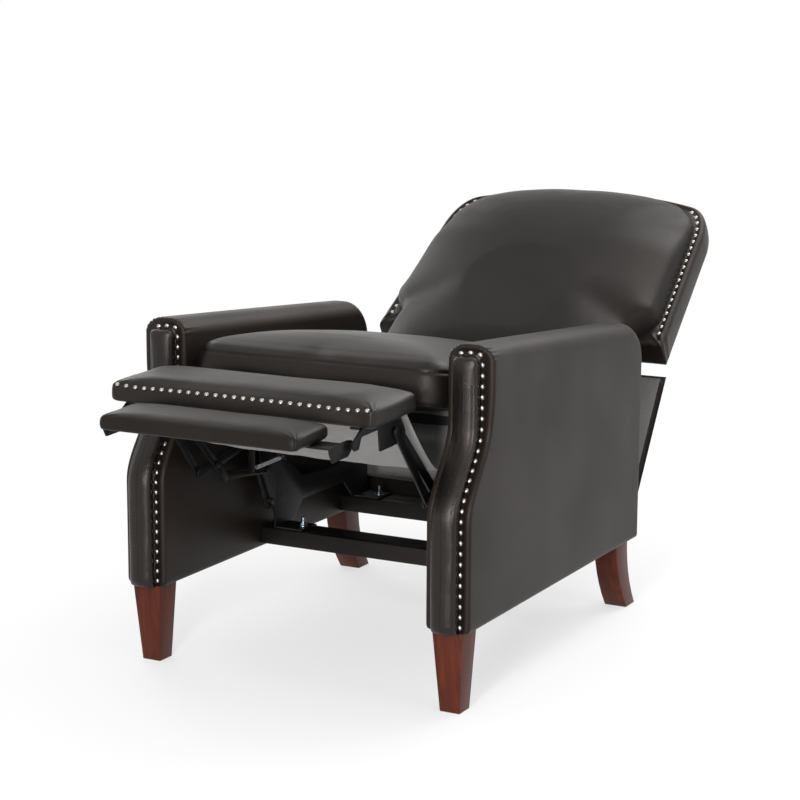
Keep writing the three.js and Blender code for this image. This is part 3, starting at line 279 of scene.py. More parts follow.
def makeTimberGrain():
    group, into, out = nodeGroup("timberGrain", [
        ("Vector", "NodeSocketVector", None), ("Stretch", "NodeSocketVector", (60.0, 60.0, 4.0)),
        ("Pores", "NodeSocketFloat", 0.5)], [("Figure", "NodeSocketFloat"), ("Height", "NodeSocketFloat")])
    along = add(group, "ShaderNodeVectorMath", {0: into.outputs["Vector"], 1: into.outputs["Stretch"]},
                operation="MULTIPLY").outputs[0]
    figure = noisy(group, along, 1.0, 8.0, Roughness=0.6, Distortion=1.4)
    fine = noisy(group, along, 9.0, 4.0, Roughness=0.7)
    pore = ranged(group, fine.outputs[0], 0.35, 0.5, 0.0, 1.0)
    group.links.new(figure.outputs[0], out.inputs["Figure"])
    group.links.new(maths(group, "MULTIPLY", pore, into.outputs["Pores"]), out.inputs["Height"])
    return group


def makeScuffs():
    group, into, out = nodeGroup("scuffs", [
        ("Vector", "NodeSocketVector", None), ("Spread", "NodeSocketFloat", 40.0)],
        [("Mask", "NodeSocketFloat"), ("Mottle", "NodeSocketFloat")])
    where = into.outputs["Vector"]
    wide = noisy(group, where, into.outputs["Spread"], 5.0, Roughness=0.65)
    fine = noisy(group, where, 420.0, 3.0)
    group.links.new(ranged(group, wide.outputs[0], 0.55, 0.75, 0.0, 1.0), out.inputs["Mask"])
    group.links.new(fine.outputs[0], out.inputs["Mottle"])
    return group


hideGrain = makeHideGrain()
timberGrain = makeTimberGrain()
scuffs = makeScuffs()


def newMaterial(name, **shaderValues):
    material = bpy.data.materials.new(name)
    material.use_nodes = True
    tree = material.node_tree
    shader = tree.nodes["Principled BSDF"]
    for key, value in shaderValues.items():
        shader.inputs[key.replace("_", " ")].default_value = value
    where = add(tree, "ShaderNodeTexCoord").outputs["Object"]
    return material, tree, shader, where


def bumped(tree, shader, height, distance, strength):
    bump = add(tree, "ShaderNodeBump", {"Height": height, "Distance": distance, "Strength": strength})
    tree.links.new(bump.outputs[0], shader.inputs["Normal"])


def coloured(tree, shader, share, dark, light, gloss):
    tree.links.new(blended(tree, share, dark, light), shader.inputs["Base Color"])
    tree.links.new(ranged(tree, share, 0.0, 1.0, *gloss), shader.inputs["Roughness"])


def leather(name, dark, light, gloss, wrinkle=0.3, shine=0.25):
    material, tree, shader, where = newMaterial(name, Specular_IOR_Level=shine, Specular_Tint=(1, 0.9, 0.84, 1))
    grain = add(tree, "ShaderNodeGroup", {"Vector": where, "Wrinkle": wrinkle}, node_tree=hideGrain)
    cloud = ranged(tree, grain.outputs["Cloud"], 0.35, 0.65, 0.0, 1.0)
    coloured(tree, shader, cloud, dark, light, gloss)
    bumped(tree, shader, grain.outputs["Height"], 0.0001, 0.6)
    return material


def stainedWood(name, dark, light, gloss, stretch, pores=0.5):
    material, tree, shader, where = newMaterial(name, Coat_Weight=0.08, Coat_Roughness=0.22,
                                                Specular_IOR_Level=0.16)
    grain = add(tree, "ShaderNodeGroup", {"Vector": where, "Stretch": stretch, "Pores": pores},
                node_tree=timberGrain)
    figure = ranged(tree, grain.outputs["Figure"], 0.3, 0.7, 0.0, 1.0)
    coloured(tree, shader, figure, dark, light, gloss)
    bumped(tree, shader, grain.outputs["Height"], 0.00008, 0.5)
    return material


def scuffed(tree, shader, where, gloss, spread):
    marks = add(tree, "ShaderNodeGroup", {"Vector": where, "Spread": spread}, node_tree=scuffs)
    tree.links.new(ranged(tree, marks.outputs["Mottle"], 0.3, 0.7, *gloss), shader.inputs["Roughness"])
    bumped(tree, shader, marks.outputs["Mottle"], 0.00005, 0.4)
    return marks.outputs["Mask"]


# in plain metal the scuffed parts take the second tone, which is real wear
def metal(name, clean, wearAndPaintedLight, gloss, metallic=1.0, spread=90.0, shine=0.5):
    material, tree, shader, where = newMaterial(name, Metallic=metallic, Specular_IOR_Level=shine)
    mask = scuffed(tree, shader, where, gloss, spread)
    tree.links.new(blended(tree, mask, clean, wearAndPaintedLight), shader.inputs["Base Color"])
    return material


# Pewter, painted lighter on the crown of each nail as a painted highlight and darker round its rim as painted
# shade, with real scuffs mixed in
def nailMetal(name, crownTone, rimTone, gloss):
    material, tree, shader, where = newMaterial(name, Metallic=1.0)
    mask = scuffed(tree, shader, where, gloss, 160.0)
    rise = add(tree, "ShaderNodeAttribute", attribute_name="rise").outputs["Fac"]
    # share towards the crown tone: a painted highlight rising up each dome, lowered where the real scuffs fall
    wearAndPaintedLight = maths(tree, "SUBTRACT", ranged(tree, rise, 0.35, 0.85, 0.0, 1.0), maths(tree, "MULTIPLY", mask, 0.3))
    tree.links.new(blended(tree, wearAndPaintedLight, rimTone, crownTone), shader.inputs["Base Color"])
    return material


def feltCloth(name, dark, light):
    material, tree, shader, where = newMaterial(name, Sheen_Weight=0.15, Sheen_Roughness=0.6)
    fibres = noisy(tree, where, 600.0, 4.0, Distortion=2.0)
    dots = add(tree, "ShaderNodeTexVoronoi", {"Vector": where, "Scale": 420.0})
    dotted = ranged(tree, dots.outputs["Distance"], 0.0, 0.6, 0.7, 1.1)
    tone = maths(tree, "MULTIPLY", fibres.outputs[0], dotted)
    share = ranged(tree, tone, 0.3, 0.7, 0.0, 1.0)
    tree.links.new(blended(tree, share, dark, light), shader.inputs["Base Color"])
    tree.links.new(ranged(tree, tone, 0.3, 0.7, 0.95, 0.8), shader.inputs["Roughness"])
    bumped(tree, shader, tone, 0.0003, 0.7)
    return material


softBlack = (0.0042, 0.0034, 0.0029), (0.0072, 0.0060, 0.0052)
coverHide = leather("coverHide", (0.0074, 0.0053, 0.0041), (0.0115, 0.0084, 0.0066), (0.44, 0.38), shine=0.19)
facingHide = leather("facingHide", (0.0030, 0.0025, 0.0022), (0.0050, 0.0042, 0.0037), (0.25, 0.31),
                     wrinkle=0.45, shine=0.36)
cushionHide = leather("cushionHide", *softBlack, (0.38, 0.44), shine=0.19)
seatHide = leather("seatHide", *softBlack, (0.34, 0.40), shine=0.27)
railHide = leather("railHide", (0.004, 0.0035, 0.0031), (0.007, 0.006, 0.0054), (0.45, 0.5), wrinkle=0.5,
                   shine=0.2)
redWood = stainedWood("redWood", (0.029, 0.0045, 0.0014), (0.088, 0.0152, 0.0042), (0.36, 0.44), (45, 45, 3))
rawTimber = stainedWood("rawTimber", (0.36, 0.22, 0.11), (0.55, 0.38, 0.2), (0.7, 0.8), (4, 45, 45), 1.0)
paintedSteel = metal("paintedSteel", (0.006, 0.006, 0.0065), (0.018, 0.018, 0.019), (0.36, 0.5),
                     metallic=0.4, spread=40.0, shine=0.22)
# the first tone is the painted highlight on each nail's crown, the second the painted shade round its rim
nailPewter = nailMetal("nailPewter", (0.46, 0.445, 0.42), (0.2, 0.19, 0.178), (0.30, 0.42))
brightZinc = metal("brightZinc", (0.55, 0.6, 0.68), (0.4, 0.43, 0.47), (0.2, 0.34))
springSteel = metal("springSteel", (0.38, 0.38, 0.4), (0.24, 0.23, 0.23), (0.28, 0.42))
greyFelt = feltCloth("greyFelt", (0.15, 0.145, 0.14), (0.30, 0.29, 0.28))
paleFelt = feltCloth("paleFelt", (0.125, 0.12, 0.117), (0.21, 0.204, 0.2))
blackCambric = feltCloth("blackCambric", (0.006, 0.006, 0.006), (0.016, 0.016, 0.016))
print("materials made")


# Camera, floor and light

view = {"azimuth": 27.91, "elevation": 10.63, "distance": 4058.7, "target": (5.1, 0, 461.4), "roll": 0.29,
        "lens": 94.77}


def makeCamera():
    azimuth, elevation = math.radians(view["azimuth"]), math.radians(view["elevation"])
    away = Vector((math.sin(azimuth) * math.cos(elevation), -math.cos(azimuth) * math.cos(elevation),
                   math.sin(elevation)))
    target = at(*view["target"])
    choose()
    bpy.ops.object.camera_add(location=target + away * view["distance"] * mm)
    camera = bpy.context.object
    turn = (-away).to_track_quat("-Z", "Y").to_matrix().to_4x4()
    turn = turn @ Matrix.Rotation(math.radians(view["roll"]), 4, "Z")
    camera.rotation_euler = turn.to_euler()
    camera.data.lens = view["lens"]
    camera.data.sensor_width = 36
    camera.data.clip_end = 50
    bpy.context.scene.camera = camera


lamps = {
    "overhead": {"place": (900, 1700, 2700), "aim": (0, 0, 300), "size": (2.0, 2.0), "watts": 52},
    "frontStrip": {"place": (800, -3150, 1100), "aim": (0, -300, 450), "size": (0.34, 2.2), "watts": 92},
    "leftRear": {"place": (-2500, 1300, 1700), "aim": (0, 0, 600), "size": (0.9, 1.8), "watts": 18},
    "rightBox": {"place": (3300, -900, 1500), "aim": (0, 0, 450), "size": (0.7, 2.0), "watts": 19},
}


# what the camera and clear reflections see is white, with the floor a little greyer under the chair
studio = {"floorTone": 0.86, "shadeFrom": 0.6, "shadeTo": 2.2, "shade": 0.62, "skyLight": 0.70}


def makeLamps():
    for name, lamp in lamps.items():
        choose()
        place, aim = at(*lamp["place"]), at(*lamp["aim"])
        bpy.ops.object.light_add(type="AREA", location=place)
        light = bpy.context.object
        light.name = name
        light.data.shape = "RECTANGLE"
        light.data.size, light.data.size_y = lamp["size"]
        light.data.energy = lamp["watts"]
        light.rotation_euler = (aim - place).to_track_quat("-Z", "Y").to_euler()


def seenRays(tree):
    path = add(tree, "ShaderNodeLightPath")
    seen = maths(tree, "MAXIMUM", path.outputs["Is Camera Ray"], path.outputs["Is Glossy Ray"])
    return maths(tree, "MAXIMUM", seen, path.outputs["Is Transmission Ray"])


def makeFloor():
    choose()
    bpy.ops.mesh.primitive_plane_add(size=40, location=(0, 0, -0.0005))
    floor = bpy.context.object
    floor.name = "studioFloor"
    tone = studio["floorTone"]
    material, tree, shader, where = newMaterial("floorWhite", Roughness=0.6, Base_Color=(tone, tone, tone, 1))
    white = add(tree, "ShaderNodeEmission", {"Color": (1, 1, 1, 1), "Strength": 1.0})
    reach = add(tree, "ShaderNodeVectorMath", {0: where}, operation="LENGTH").outputs["Value"]
    shade = ranged(tree, reach, studio["shadeFrom"], studio["shadeTo"], studio["shade"], 1.0)
    share = maths(tree, "MULTIPLY", seenRays(tree), shade)
    mixer = add(tree, "ShaderNodeMixShader", {0: share, 1: shader.outputs[0], 2: white.outputs[0]})
    tree.links.new(mixer.outputs[0], tree.nodes["Material Output"].inputs["Surface"])
    floor.data.materials.append(material)


def makeSky():
    world = bpy.context.scene.world or bpy.data.worlds.new("studio")
    bpy.context.scene.world = world
    world.use_nodes = True
    sky = world.node_tree
    backdrop = sky.nodes["Background"]
    backdrop.inputs["Color"].default_value = (1, 1, 1, 1)
    sky.links.new(ranged(sky, seenRays(sky), 0.0, 1.0, studio["skyLight"], 1.0), backdrop.inputs["Strength"])
    bpy.context.scene.view_settings.view_transform = "Standard"


makeCamera()
makeLamps()
makeFloor()
makeSky()
print("camera and studio set")


# Surfaces for nails to sit on, and the small pull each nail gives the leather

def surfaceOf(*pieces):
    mesh = bmesh.new()
    for piece in pieces:
        mesh.from_mesh(piece.data)
    tree = BVHTree.FromBMesh(mesh)
    mesh.free()
    return tree


def spaced(stations, pitch):
    lengths = [0.0]
    for a, b in zip(stations, stations[1:]):
        lengths.append(lengths[-1] + (b[0] - a[0]).length)
    count = round(lengths[-1] / (pitch * mm))
    spots, index = [], 0
    for i in range(count):
        travel = (i + 0.5) * lengths[-1] / count
        while lengths[index + 1] < travel:
            index += 1
        t = (travel - lengths[index]) / (lengths[index + 1] - lengths[index])
        spots.append((stations[index][0].lerp(stations[index + 1][0], t),
                      stations[index][1].lerp(stations[index + 1][1], t).normalized()))
    return spots


nail = {"radius": 5.2, "height": 3.4, "brim": 0.07, "tilt": 0.16, "sink": 0.1}


def seated(spots, surface, sink=nail["sink"], clear=30):
    found = []
    for place, facing in spots:
        hit = surface.ray_cast(place + facing * clear * mm, -facing, 2 * clear * mm)[0]
        found.append(((hit if hit else place) - facing * sink * mm, facing))
    return found


def pinched(piece, spots, reach, depth):
    tree = KDTree(len(spots))
    for i, spot in enumerate(spots):
        tree.insert(spot[0], i)
    tree.balance()
    for vertex in piece.data.vertices:
        index, distance = tree.find(vertex.co)[1:]
        if distance < reach * mm:
            vertex.co -= spots[index][1] * depth * mm * (1 - (distance / (reach * mm)) ** 2) ** 2
    return piece


def nailDome(radius, height):
    choose()
    bpy.ops.mesh.primitive_uv_sphere_add(segments=12, ring_count=10, radius=1)
    cut = {"plane_co": (0, 0, -0.05), "plane_no": (0, 0, 1), "clear_inner": True}
    dome = edited(bpy.context.object, bisect=cut)
    for vertex in dome.data.vertices:
        brim = 1 + nail["brim"] * (1 - ease(vertex.co.z / 0.3))
        wide = radius * mm * brim
        vertex.co = (vertex.co.x * wide, vertex.co.y * wide, vertex.co.z * height * mm)
    # height share up each dome, which the pewter uses to paint a highlight on the crown and shade at the rim
    rise = dome.data.attributes.new("rise", "FLOAT", "POINT")
    rise.data.foreach_set("value", [max(vertex.co.z, 0) / (height * mm) for vertex in dome.data.vertices])
    return smooth(dome)


def nailRow(name, spots, radius=nail["radius"], height=nail["height"], seed=0):
    dome = nailDome(radius, height)
    heads = []
    for i, (place, facing) in enumerate(spots):
        wobble = Vector([waver(i * 1.7, seed, axis * 3.1) for axis in range(3)]) * nail["tilt"]
        turn = (facing + wobble).to_track_quat("Z", "Y").to_matrix().to_4x4()
        head = duplicate(dome, "nailHead")
        head.data.transform(Matrix.Translation(place) @ turn)
        heads.append(head)
    bpy.data.objects.remove(dome)
    return joinedAs(name, heads)


def mirroredCopy(piece, name):
    twin = duplicate(piece, name)
    twin.data.transform(Matrix.Scale(-1, 4, (1, 0, 0)))
    return sealed(twin, 0.001)


# Arms

arm = {"inner": 270, "outer": 355, "foot": 149.4, "front": 398, "reach": 78, "reachFrom": 345, "reachTo": 500,
       "topFront": 640, "topRear": 592, "rearRound": 50, "cornerWide": 34, "cornerTall": 30,
       "rearRoll": 7, "sidePuff": 2.2, "topPuff": 3.0, "nailInset": 20.5, "valley": 3.0, "crestShare": 0.76,
       "frontSwell": 5, "overhang": 6, "pleatReach": 38, "pleatDepth": 1.3, "pleats": 30,
       "nailPitch": 18.6, "pinch": (7, 0.8), "swellFrom": 470, "swellOver": 90, "swellBack": 110}
# how far in from the edge, and how far forward: the rolled edge, and the stuffed front that overhangs the nails
armRoll = ((0, 0), (0.2, 1.6), (0.9, 3.2), (2.3, 4.7), (4.4, 5.7), (7, 6.1), (9.8, 5.8), (12.4, 4.9),
           (14.8, 3.9), (17, 3.2), (20, 2.9), (23.8, 2.8))
armBulge = ((22.5, 2.2), (25.2, 2.9), (26.3, 4.6), (25.6, 7.2), (23.6, 10.2), (21.1, 13.2), (19, 16.6),
            (18.3, 20), (18.9, 23), (20.4, 25.6), (22, 27.2), (24, 28.6), (26, 29.6), (28.4, 30.5),
            (32, 31.4), (36.5, 32), (42.3, 32.2))
armMiddle = (arm["inner"] + arm["outer"]) / 2
armHalf = (arm["outer"] - arm["inner"]) / 2
upperFront = -arm["front"] + arm["reach"]
rearStart = rearOfArms - arm["rearRound"]


def scrollFront(z):
    return -arm["front"] + arm["reach"] * ease((z - arm["reachFrom"]) / (arm["reachTo"] - arm["reachFrom"]))


def crownHeight(y):
    level = mix(arm["topFront"], arm["topRear"], clamp((y - upperFront) / (rearStart - upperFront)))
    if y <= rearStart:
        return level
    drop = min((y - rearStart) / arm["rearRound"], 1)
    return level - arm["rearRound"] * (1 - math.sqrt(1 - drop * drop))


# Steps round an arm's section and its front: underneath, side, corner, top, corner, side, underneath
sectionSteps = (3, 40, 40, 6, 40, 40, 3)
sectionCount = sum(sectionSteps)
facingSteps = (3, 62, 16, 8, 16, 62, 3)
facingCount = sum(facingSteps)


# How far across from the arm's middle, how high, and, underneath, what share of the way out
def roundArm(step, steps, half, wide, tall, crest):
    side = 1
    if step > sum(steps) / 2:
        side, step = -1, sum(steps) - step
    under, flank, corner, flat = steps[:4]
    if step <= under:
        return side * half, arm["foot"], step / under
    step -= under
    if step <= flank:
        return side * half, mix(arm["foot"], crest - tall, step / flank), 1.0
    step -= flank
    if step <= corner:
        turn = step / corner * math.pi / 2
        return side * (half - wide * (1 - math.cos(turn))), crest - tall * (1 - math.sin(turn)), 1.0
    return side * (half - wide) * (1 - (step - corner) / (flat / 2)), crest, 1.0


def sectionPoint(step, top, inset):
    wide, tall = max(arm["cornerWide"] - inset, 2), max(arm["cornerTall"] - inset, 2)
    across, z, out = roundArm(step, sectionSteps, armHalf - inset, wide, tall, top - inset * arm["crestShare"])
    return armMiddle + across * out, z


# Steps along an arm: the roll round its front edge, its length, the curve at the rear, the rear edge and face
lengthSteps = (11, 32, 12, 5, 6)
lengthCount = sum(lengthSteps)


def armSkinPoint(u, v):
    step, run = u * sectionCount, v * lengthCount
    front, body, bend, roll, face = lengthSteps
    inset, forward, rearward = 0.0, 0.0, 0.0
    if run < front:
        inset, forward = armRoll[round(front - run)]
    y = mix(upperFront, rearStart, clamp((run - front) / body))
    if run > front + body:
        y = rearStart + arm["rearRound"] * math.sin(min((run - front - body) / bend, 1) * math.pi / 2)
    top = crownHeight(y)
    if run > front + body + bend:
        turn = min((run - front - body - bend) / roll, 1) * math.pi / 2
        inset = arm["rearRoll"] * (1 - math.cos(turn))
        rearward = arm["rearRoll"] * math.sin(turn) * 0.5
    if run > lengthCount - face:
        deep = (run - (lengthCount - face)) / face
        inset = mix(arm["rearRoll"], armHalf - 2, deep)
        rearward += 2.5 * math.sin(deep * math.pi / 2)
    x, z = sectionPoint(step, top, inset)
    y = mix(scrollFront(z), rearOfArms, (y - upperFront) / (rearOfArms - upperFront))
    across = abs(x - armMiddle)
    side = 1 if x > armMiddle else -1
    if side > 0:  # fuller at the top of the front, on the outside
        high = ease((z - arm["swellFrom"]) / arm["swellOver"])
        fuller = high * ease(1 - (y - scrollFront(z)) / arm["swellBack"]) * ease(run / 5)
        x += arm["frontSwell"] * across / armHalf * fuller
    if front < run <= front + body + bend:  # padding stands proud in the middle of each side and along the top
        swell = math.sin(math.pi * (run - front) / (body + bend)) ** 0.6
        height = clamp((z - arm["foot"]) / (top - arm["foot"]))
        drift = waver(side * 3, y * 0.009, z * 0.006)
        puff = (arm["sidePuff"] + 1.1 * drift) * math.sin(math.pi * height) ** 0.6
        x += side * swell * puff * ease(across / armHalf)
        z += 0.5 * arm["topPuff"] * swell * ease((z - top + 20) / 20)
    reach = (y - upperFront) / arm["pleatReach"]
    if z > arm["topFront"] - 52 and reach < 1 and run < front + body:  # gathers round the top front corner
        cornerX = across - (armHalf - arm["cornerWide"]) + 8
        turn = math.atan2(z - (arm["topFront"] - arm["cornerTall"] - 8), max(cornerX, 1))
        near = max(0.0, math.sin(clamp(turn, 0.0, math.pi / 2) * 2)) ** 0.5
        fade = ease(1 - reach) * ease((run + 1) / 5)
        wave = math.sin(turn * arm["pleats"] + 3.5 * waver(y * 0.04, turn * 2.5, side))
        uneven = 0.45 + 1.1 * waver(turn * 5, y * 0.03, side * 7.0)
        push = arm["pleatDepth"] * near * fade * (wave - 0.3) * uneven
        x += side * push * math.cos(turn)
        z += push * math.sin(turn)
    return at(x, y - forward + rearward, z)


def facingPath(step, inset, drop=0.0):
    half = armHalf - inset
    depthShare = max(inset - arm["nailInset"], 0) / (armHalf - arm["nailInset"])
    radius = min(half, mix(max(arm["cornerTall"] - inset, 9), half, ease(depthShare * 1.6)))
    crest = arm["topFront"] - inset * arm["crestShare"] - 10 * depthShare ** 2 - drop
    across, z, out = roundArm(step, facingSteps, half, radius, radius, crest)
    return armMiddle + across, z, out


def facingPoint(u, v):
    inset, depth = armBulge[round(v * (len(armBulge) - 1))]
    x, z, out = facingPath(u * facingCount, inset, arm["overhang"] * ease((depth - 3) / 8))
    stuffed = ease((depth - 8) / 16)
    fold = 0
    if x > armMiddle:
        fold = math.exp(-((inset - 25) / 1.7) ** 2) * ease((z - 330) / 60) * ease((610 - z) / 60)
    crease = waver(x * 0.02, z * 0.055, 8.0)
    depth *= mix(0.86, 1.0, ease((z - arm["foot"]) / 12))
    depth += stuffed * (1.3 * waver(x * 0.03, z * 0.017, 3.0) + 0.5 * crease) - 1.3 * fold
    return at(x, scrollFront(z) - depth * out, z)


def armNailStations():
    stations = []
    for i in range(facingSteps[0], facingCount - facingSteps[0] + 1):
        x, z = facingPath(i, arm["nailInset"])[:2]
        facing = Vector((0, -1, (scrollFront(z + 1) - scrollFront(z - 1)) / 2)).normalized()
        stations.append((at(x, scrollFront(z) - arm["valley"], z), facing))
    return stations


def makeArms():
    skin = refined(sealed(shapedGrid("armSkin", sectionCount, lengthCount, armSkinPoint)))
    facing = refined(sealed(shapedGrid("armFacing", facingCount, len(armBulge) - 1, facingPoint)))
    spots = spaced(armNailStations(), arm["nailPitch"])
    for piece in (skin, facing):
        pinched(piece, spots, *arm["pinch"])
    nails = nailRow("armNails", seated(spots, surfaceOf(skin), clear=6))
    for side in ("right", "left"):
        for piece, node, material, slot in ((skin, "arm_cover", coverHide, "leather"),
                                            (facing, "arm_front_pad", facingHide, "leather"),
                                            (nails, "arm_nail_trim", nailPewter, "pewter")):
            one = mirroredCopy(piece, node) if side == "right" else piece
            dressed(one, f"{node}_{side}_dressed", "frame", material, slot, f"{node}_{side}")


makeArms()
print("arms upholstered")


# Cushions filled by cloth simulation

filling = {"quality": 6, "mass": 0.3, "tension_stiffness": 20, "compression_stiffness": 20,
           "shear_stiffness": 12, "bending_stiffness": 2.5, "use_pressure": True, "uniform_pressure_force": 4}
fillFrames = 20


def evened(moves, links, rounds):
    for _ in range(rounds):
        total, count = moves.copy(), numpy.ones((len(moves), 1))
        for a, b in ((0, 1), (1, 0)):
            numpy.add.at(total, links[:, a], moves[links[:, b]])
            numpy.add.at(count, links[:, a], 1)
        moves = total / count
    return moves


# The cloth's movement is evened over its neighbours, so that the tight leather keeps the broad swelling alone
def inflated(piece, voxel, cap, held, rounds=30, taken=0.6):
    applied(piece, "REMESH", mode="VOXEL", voxel_size=voxel * mm)
    start = [vertex.co.copy() for vertex in piece.data.vertices]
    links = numpy.array([list(edge.vertices) for edge in piece.data.edges])
    choose(piece)
    cloth = piece.modifiers.new("Cloth", "CLOTH")
    for key, value in filling.items():
        setattr(cloth.settings, key, value)
    cloth.settings.effector_weights.gravity = 0
    cloth.collision_settings.use_collision = False
    group = piece.vertex_groups.new(name="held")
    group.add([i for i, place in enumerate(start) if held(place)], 1.0, "REPLACE")
    cloth.settings.vertex_group_mass = "held"
    cloth.point_cache.frame_start, cloth.point_cache.frame_end = 1, fillFrames
    for number in range(1, fillFrames + 1):
        bpy.context.scene.frame_set(number)
    bpy.ops.object.modifier_apply(modifier=cloth.name)
    bpy.context.scene.frame_set(1)
    piece.vertex_groups.clear()
    moves = numpy.array([list(vertex.co - place) for vertex, place in zip(piece.data.vertices, start)])
    moves = evened(moves, links, rounds) * taken
    for vertex, place, moved in zip(piece.data.vertices, start, moves):
        moved = Vector(moved)
        vertex.co = place + moved * min(1, cap * mm / max(moved.length, 1e-9))
    return applied(piece, "SMOOTH", factor=0.5, iterations=4)


def inLocal(piece, space, change):
    back = space.inverted()
    for vertex in piece.data.vertices:
        spot = back @ vertex.co / mm
        vertex.co = space @ (Vector(change(spot)) * mm)
    return piece


def softLimit(value, limit, room):
    if value <= limit - room:
        return value
    return limit - room * math.exp((limit - room - value) / room)


# A block with rounded corners seen from above, a border that swells between its seams and a crowned top
def softBlock(name, space, half, depth, thick, crown, corner, puff, rise, rounding):
    choose()
    bpy.ops.mesh.primitive_cube_add(size=2)
    block = edited(bpy.context.object, subdivide={"number_cuts": 56})
    block.name = name
    for vertex in block.data.vertices:
        u, v, w = vertex.co
        x, y = u * half, v * depth / 2
        over = Vector((abs(x) - (half - corner), abs(y) - (depth / 2 - corner)))
        if over.x > 0 and over.y > 0:
            reach = max(over.x, over.y)
            ring = over.normalized() * reach
            x = math.copysign(half - corner + ring.x, x)
            y = math.copysign(depth / 2 - corner + ring.y, y)
        rim = min(half - abs(u) * half, depth / 2 - abs(v) * depth / 2)
        share = 1 - (1 - min(rim / (min(half, depth / 2) * 0.9), 1)) ** rise
        lift = crown * share ** rounding if w > 0.999 else 0
        swell = puff * math.sin(math.pi * (w + 1) / 2) if rim < 0.01 else 0
        x *= 1 + swell / half
        y *= 1 + swell / (depth / 2)
        z = mix(-thick, 0, (w + 1) / 2) + lift
        vertex.co = Vector((x, y + depth / 2, z)) * mm
    block.data.transform(space)
    return smooth(block)


seat = {"half": 262, "depth": 628, "thick": 68, "crown": 36, "corner": 46, "puff": 4, "rise": 3.3,
        "rounding": 0.5, "swell": 3, "voxel": 5, "cap": 22, "seamDrop": 1, "seamWide": 2.6, "seamDeep": 2.4,
        "lowSeam": (9, 1.2), "nose": 9, "boardLow": (-240, 150, -104.3), "boardHigh": (240, 560, -68.3),
        "boardEdge": 4}


def makeSeat():
    swell, thick = seat["swell"], seat["thick"]
    cushion = softBlock("seatCushion", seatSpace @ Matrix.Translation((0, swell * mm, -swell * mm * 0.5)),
                        seat["half"] - swell, seat["depth"] - 2 * swell, thick - swell,
                        seat["crown"] - 1, seat["corner"], seat["puff"], seat["rise"], seat["rounding"])
    base = seatSpace.inverted()
    inflated(cushion, seat["voxel"], seat["cap"],
             held=lambda place: (base @ place).z < (-thick + 6) * mm and (base @ place).y > 0.15)
    refined(cushion)

    def settle(spot):
        x = math.copysign(softLimit(abs(spot.x), arm["inner"] - 1.5, 10), spot.x)
        z = max(spot.z, -thick - 4 * ease((140 - spot.y) / 60))
        y = max(spot.y, -seat["nose"])
        edgeRun = min(abs(y - 4), seat["half"] - abs(x))
        onSide = ease((24 - max(edgeRun, 0)) / 10)
        lowUp, lowDeep = seat["lowSeam"]
        for level, deep in ((-seat["seamDrop"], seat["seamDeep"]), (lowUp - thick, lowDeep)):
            groove = deep * math.exp(-((z - level) / seat["seamWide"]) ** 2) * onSide
            y += groove if y < 40 else 0
            x -= math.copysign(groove, x) if abs(x) > seat["half"] - 30 and y >= 10 else 0
        z += 0.9 * waver(x * 0.011, y * 0.011, 5) if z > -20 else 0
        return x, y, z

    inLocal(cushion, seatSpace, settle)
    dressed(smooth(cushion), "seat_cushion_dressed", "seat", seatHide, "leather", "seat_cushion")
    board = box("seatBoard", seat["boardLow"], seat["boardHigh"], seatSpace)
    smooth(bevelled(board, seat["boardEdge"], 3, 30), 40)
    dressed(board, "seat_board_dressed", "seat", blackCambric, "grey_cloth", "seat_board")


makeSeat()
print("seat cushion filled")


back = {"face": 110.84, "wingThick": 30, "wingBottom": 736, "wingHalf": 335, "shoulderHeight": 1085,
        "shoulderHalf": 315, "shoulderBend": (306, 1165), "shoulderTop": (262, 1181), "crestBend": (150, 1216),
        "top": 1216, "stemBottom": 528, "stemHalf": 256, "nailInset": 18, "nailFrom": 765, "nailPitch": 21,
        "sideSteps": 84, "shoulderSteps": 26, "crestSteps": 34, "gather": 62, "folds": 26, "pinch": (9, 1.2)}
pad = {"bottom": 534, "lowHalf": 268, "inWing": 21, "spreadLow": 736, "spreadHigh": 806, "crown": 64,
       "sideSteps": 56, "turnSteps": 16, "topSteps": 20, "topBend": 150,
       "lumbarShare": 0.1, "lumbarTop": 600, "boxShare": 0.3, "boxTop": 700, "softFrom": 960, "softTo": 1150,
       "top": 1207, "shoulder": 1077, "turn": 1135, "cornerIn": 56, "cornerTop": 1172, "voxel": 6, "cap": 24,
       "betweenArms": (728, 268.5)}
# how far in towards the middle, and how much of the crown is reached there: at the sides, and along the top
padRise = ((0, 0, 0), (0.003, 0.2, 0.04), (0.008, 0.36, 0.1), (0.013, 0.47, 0.15), (0.02, 0.56, 0.2),
           (0.035, 0.66, 0.29), (0.06, 0.74, 0.38), (0.09, 0.81, 0.47), (0.13, 0.86, 0.56), (0.18, 0.905, 0.66),
           (0.25, 0.94, 0.75), (0.33, 0.962, 0.83), (0.42, 0.975, 0.9), (0.53, 0.985, 0.95), (0.65, 0.99, 0.98),
           (0.85, 1, 1), (1, 1, 1))


def bent(p0, p1, p2, t):
    return tuple((1 - t) ** 2 * a + 2 * t * (1 - t) * b + t * t * c for a, b, c in zip(p0, p1, p2))


def sideHalf(z):
    t = (z - back["wingBottom"]) / (back["shoulderHeight"] - back["wingBottom"])
    return mix(back["wingHalf"], back["shoulderHalf"], t)


def padSpread(z):
    return ease((z - pad["spreadLow"]) / (pad["spreadHigh"] - pad["spreadLow"]))


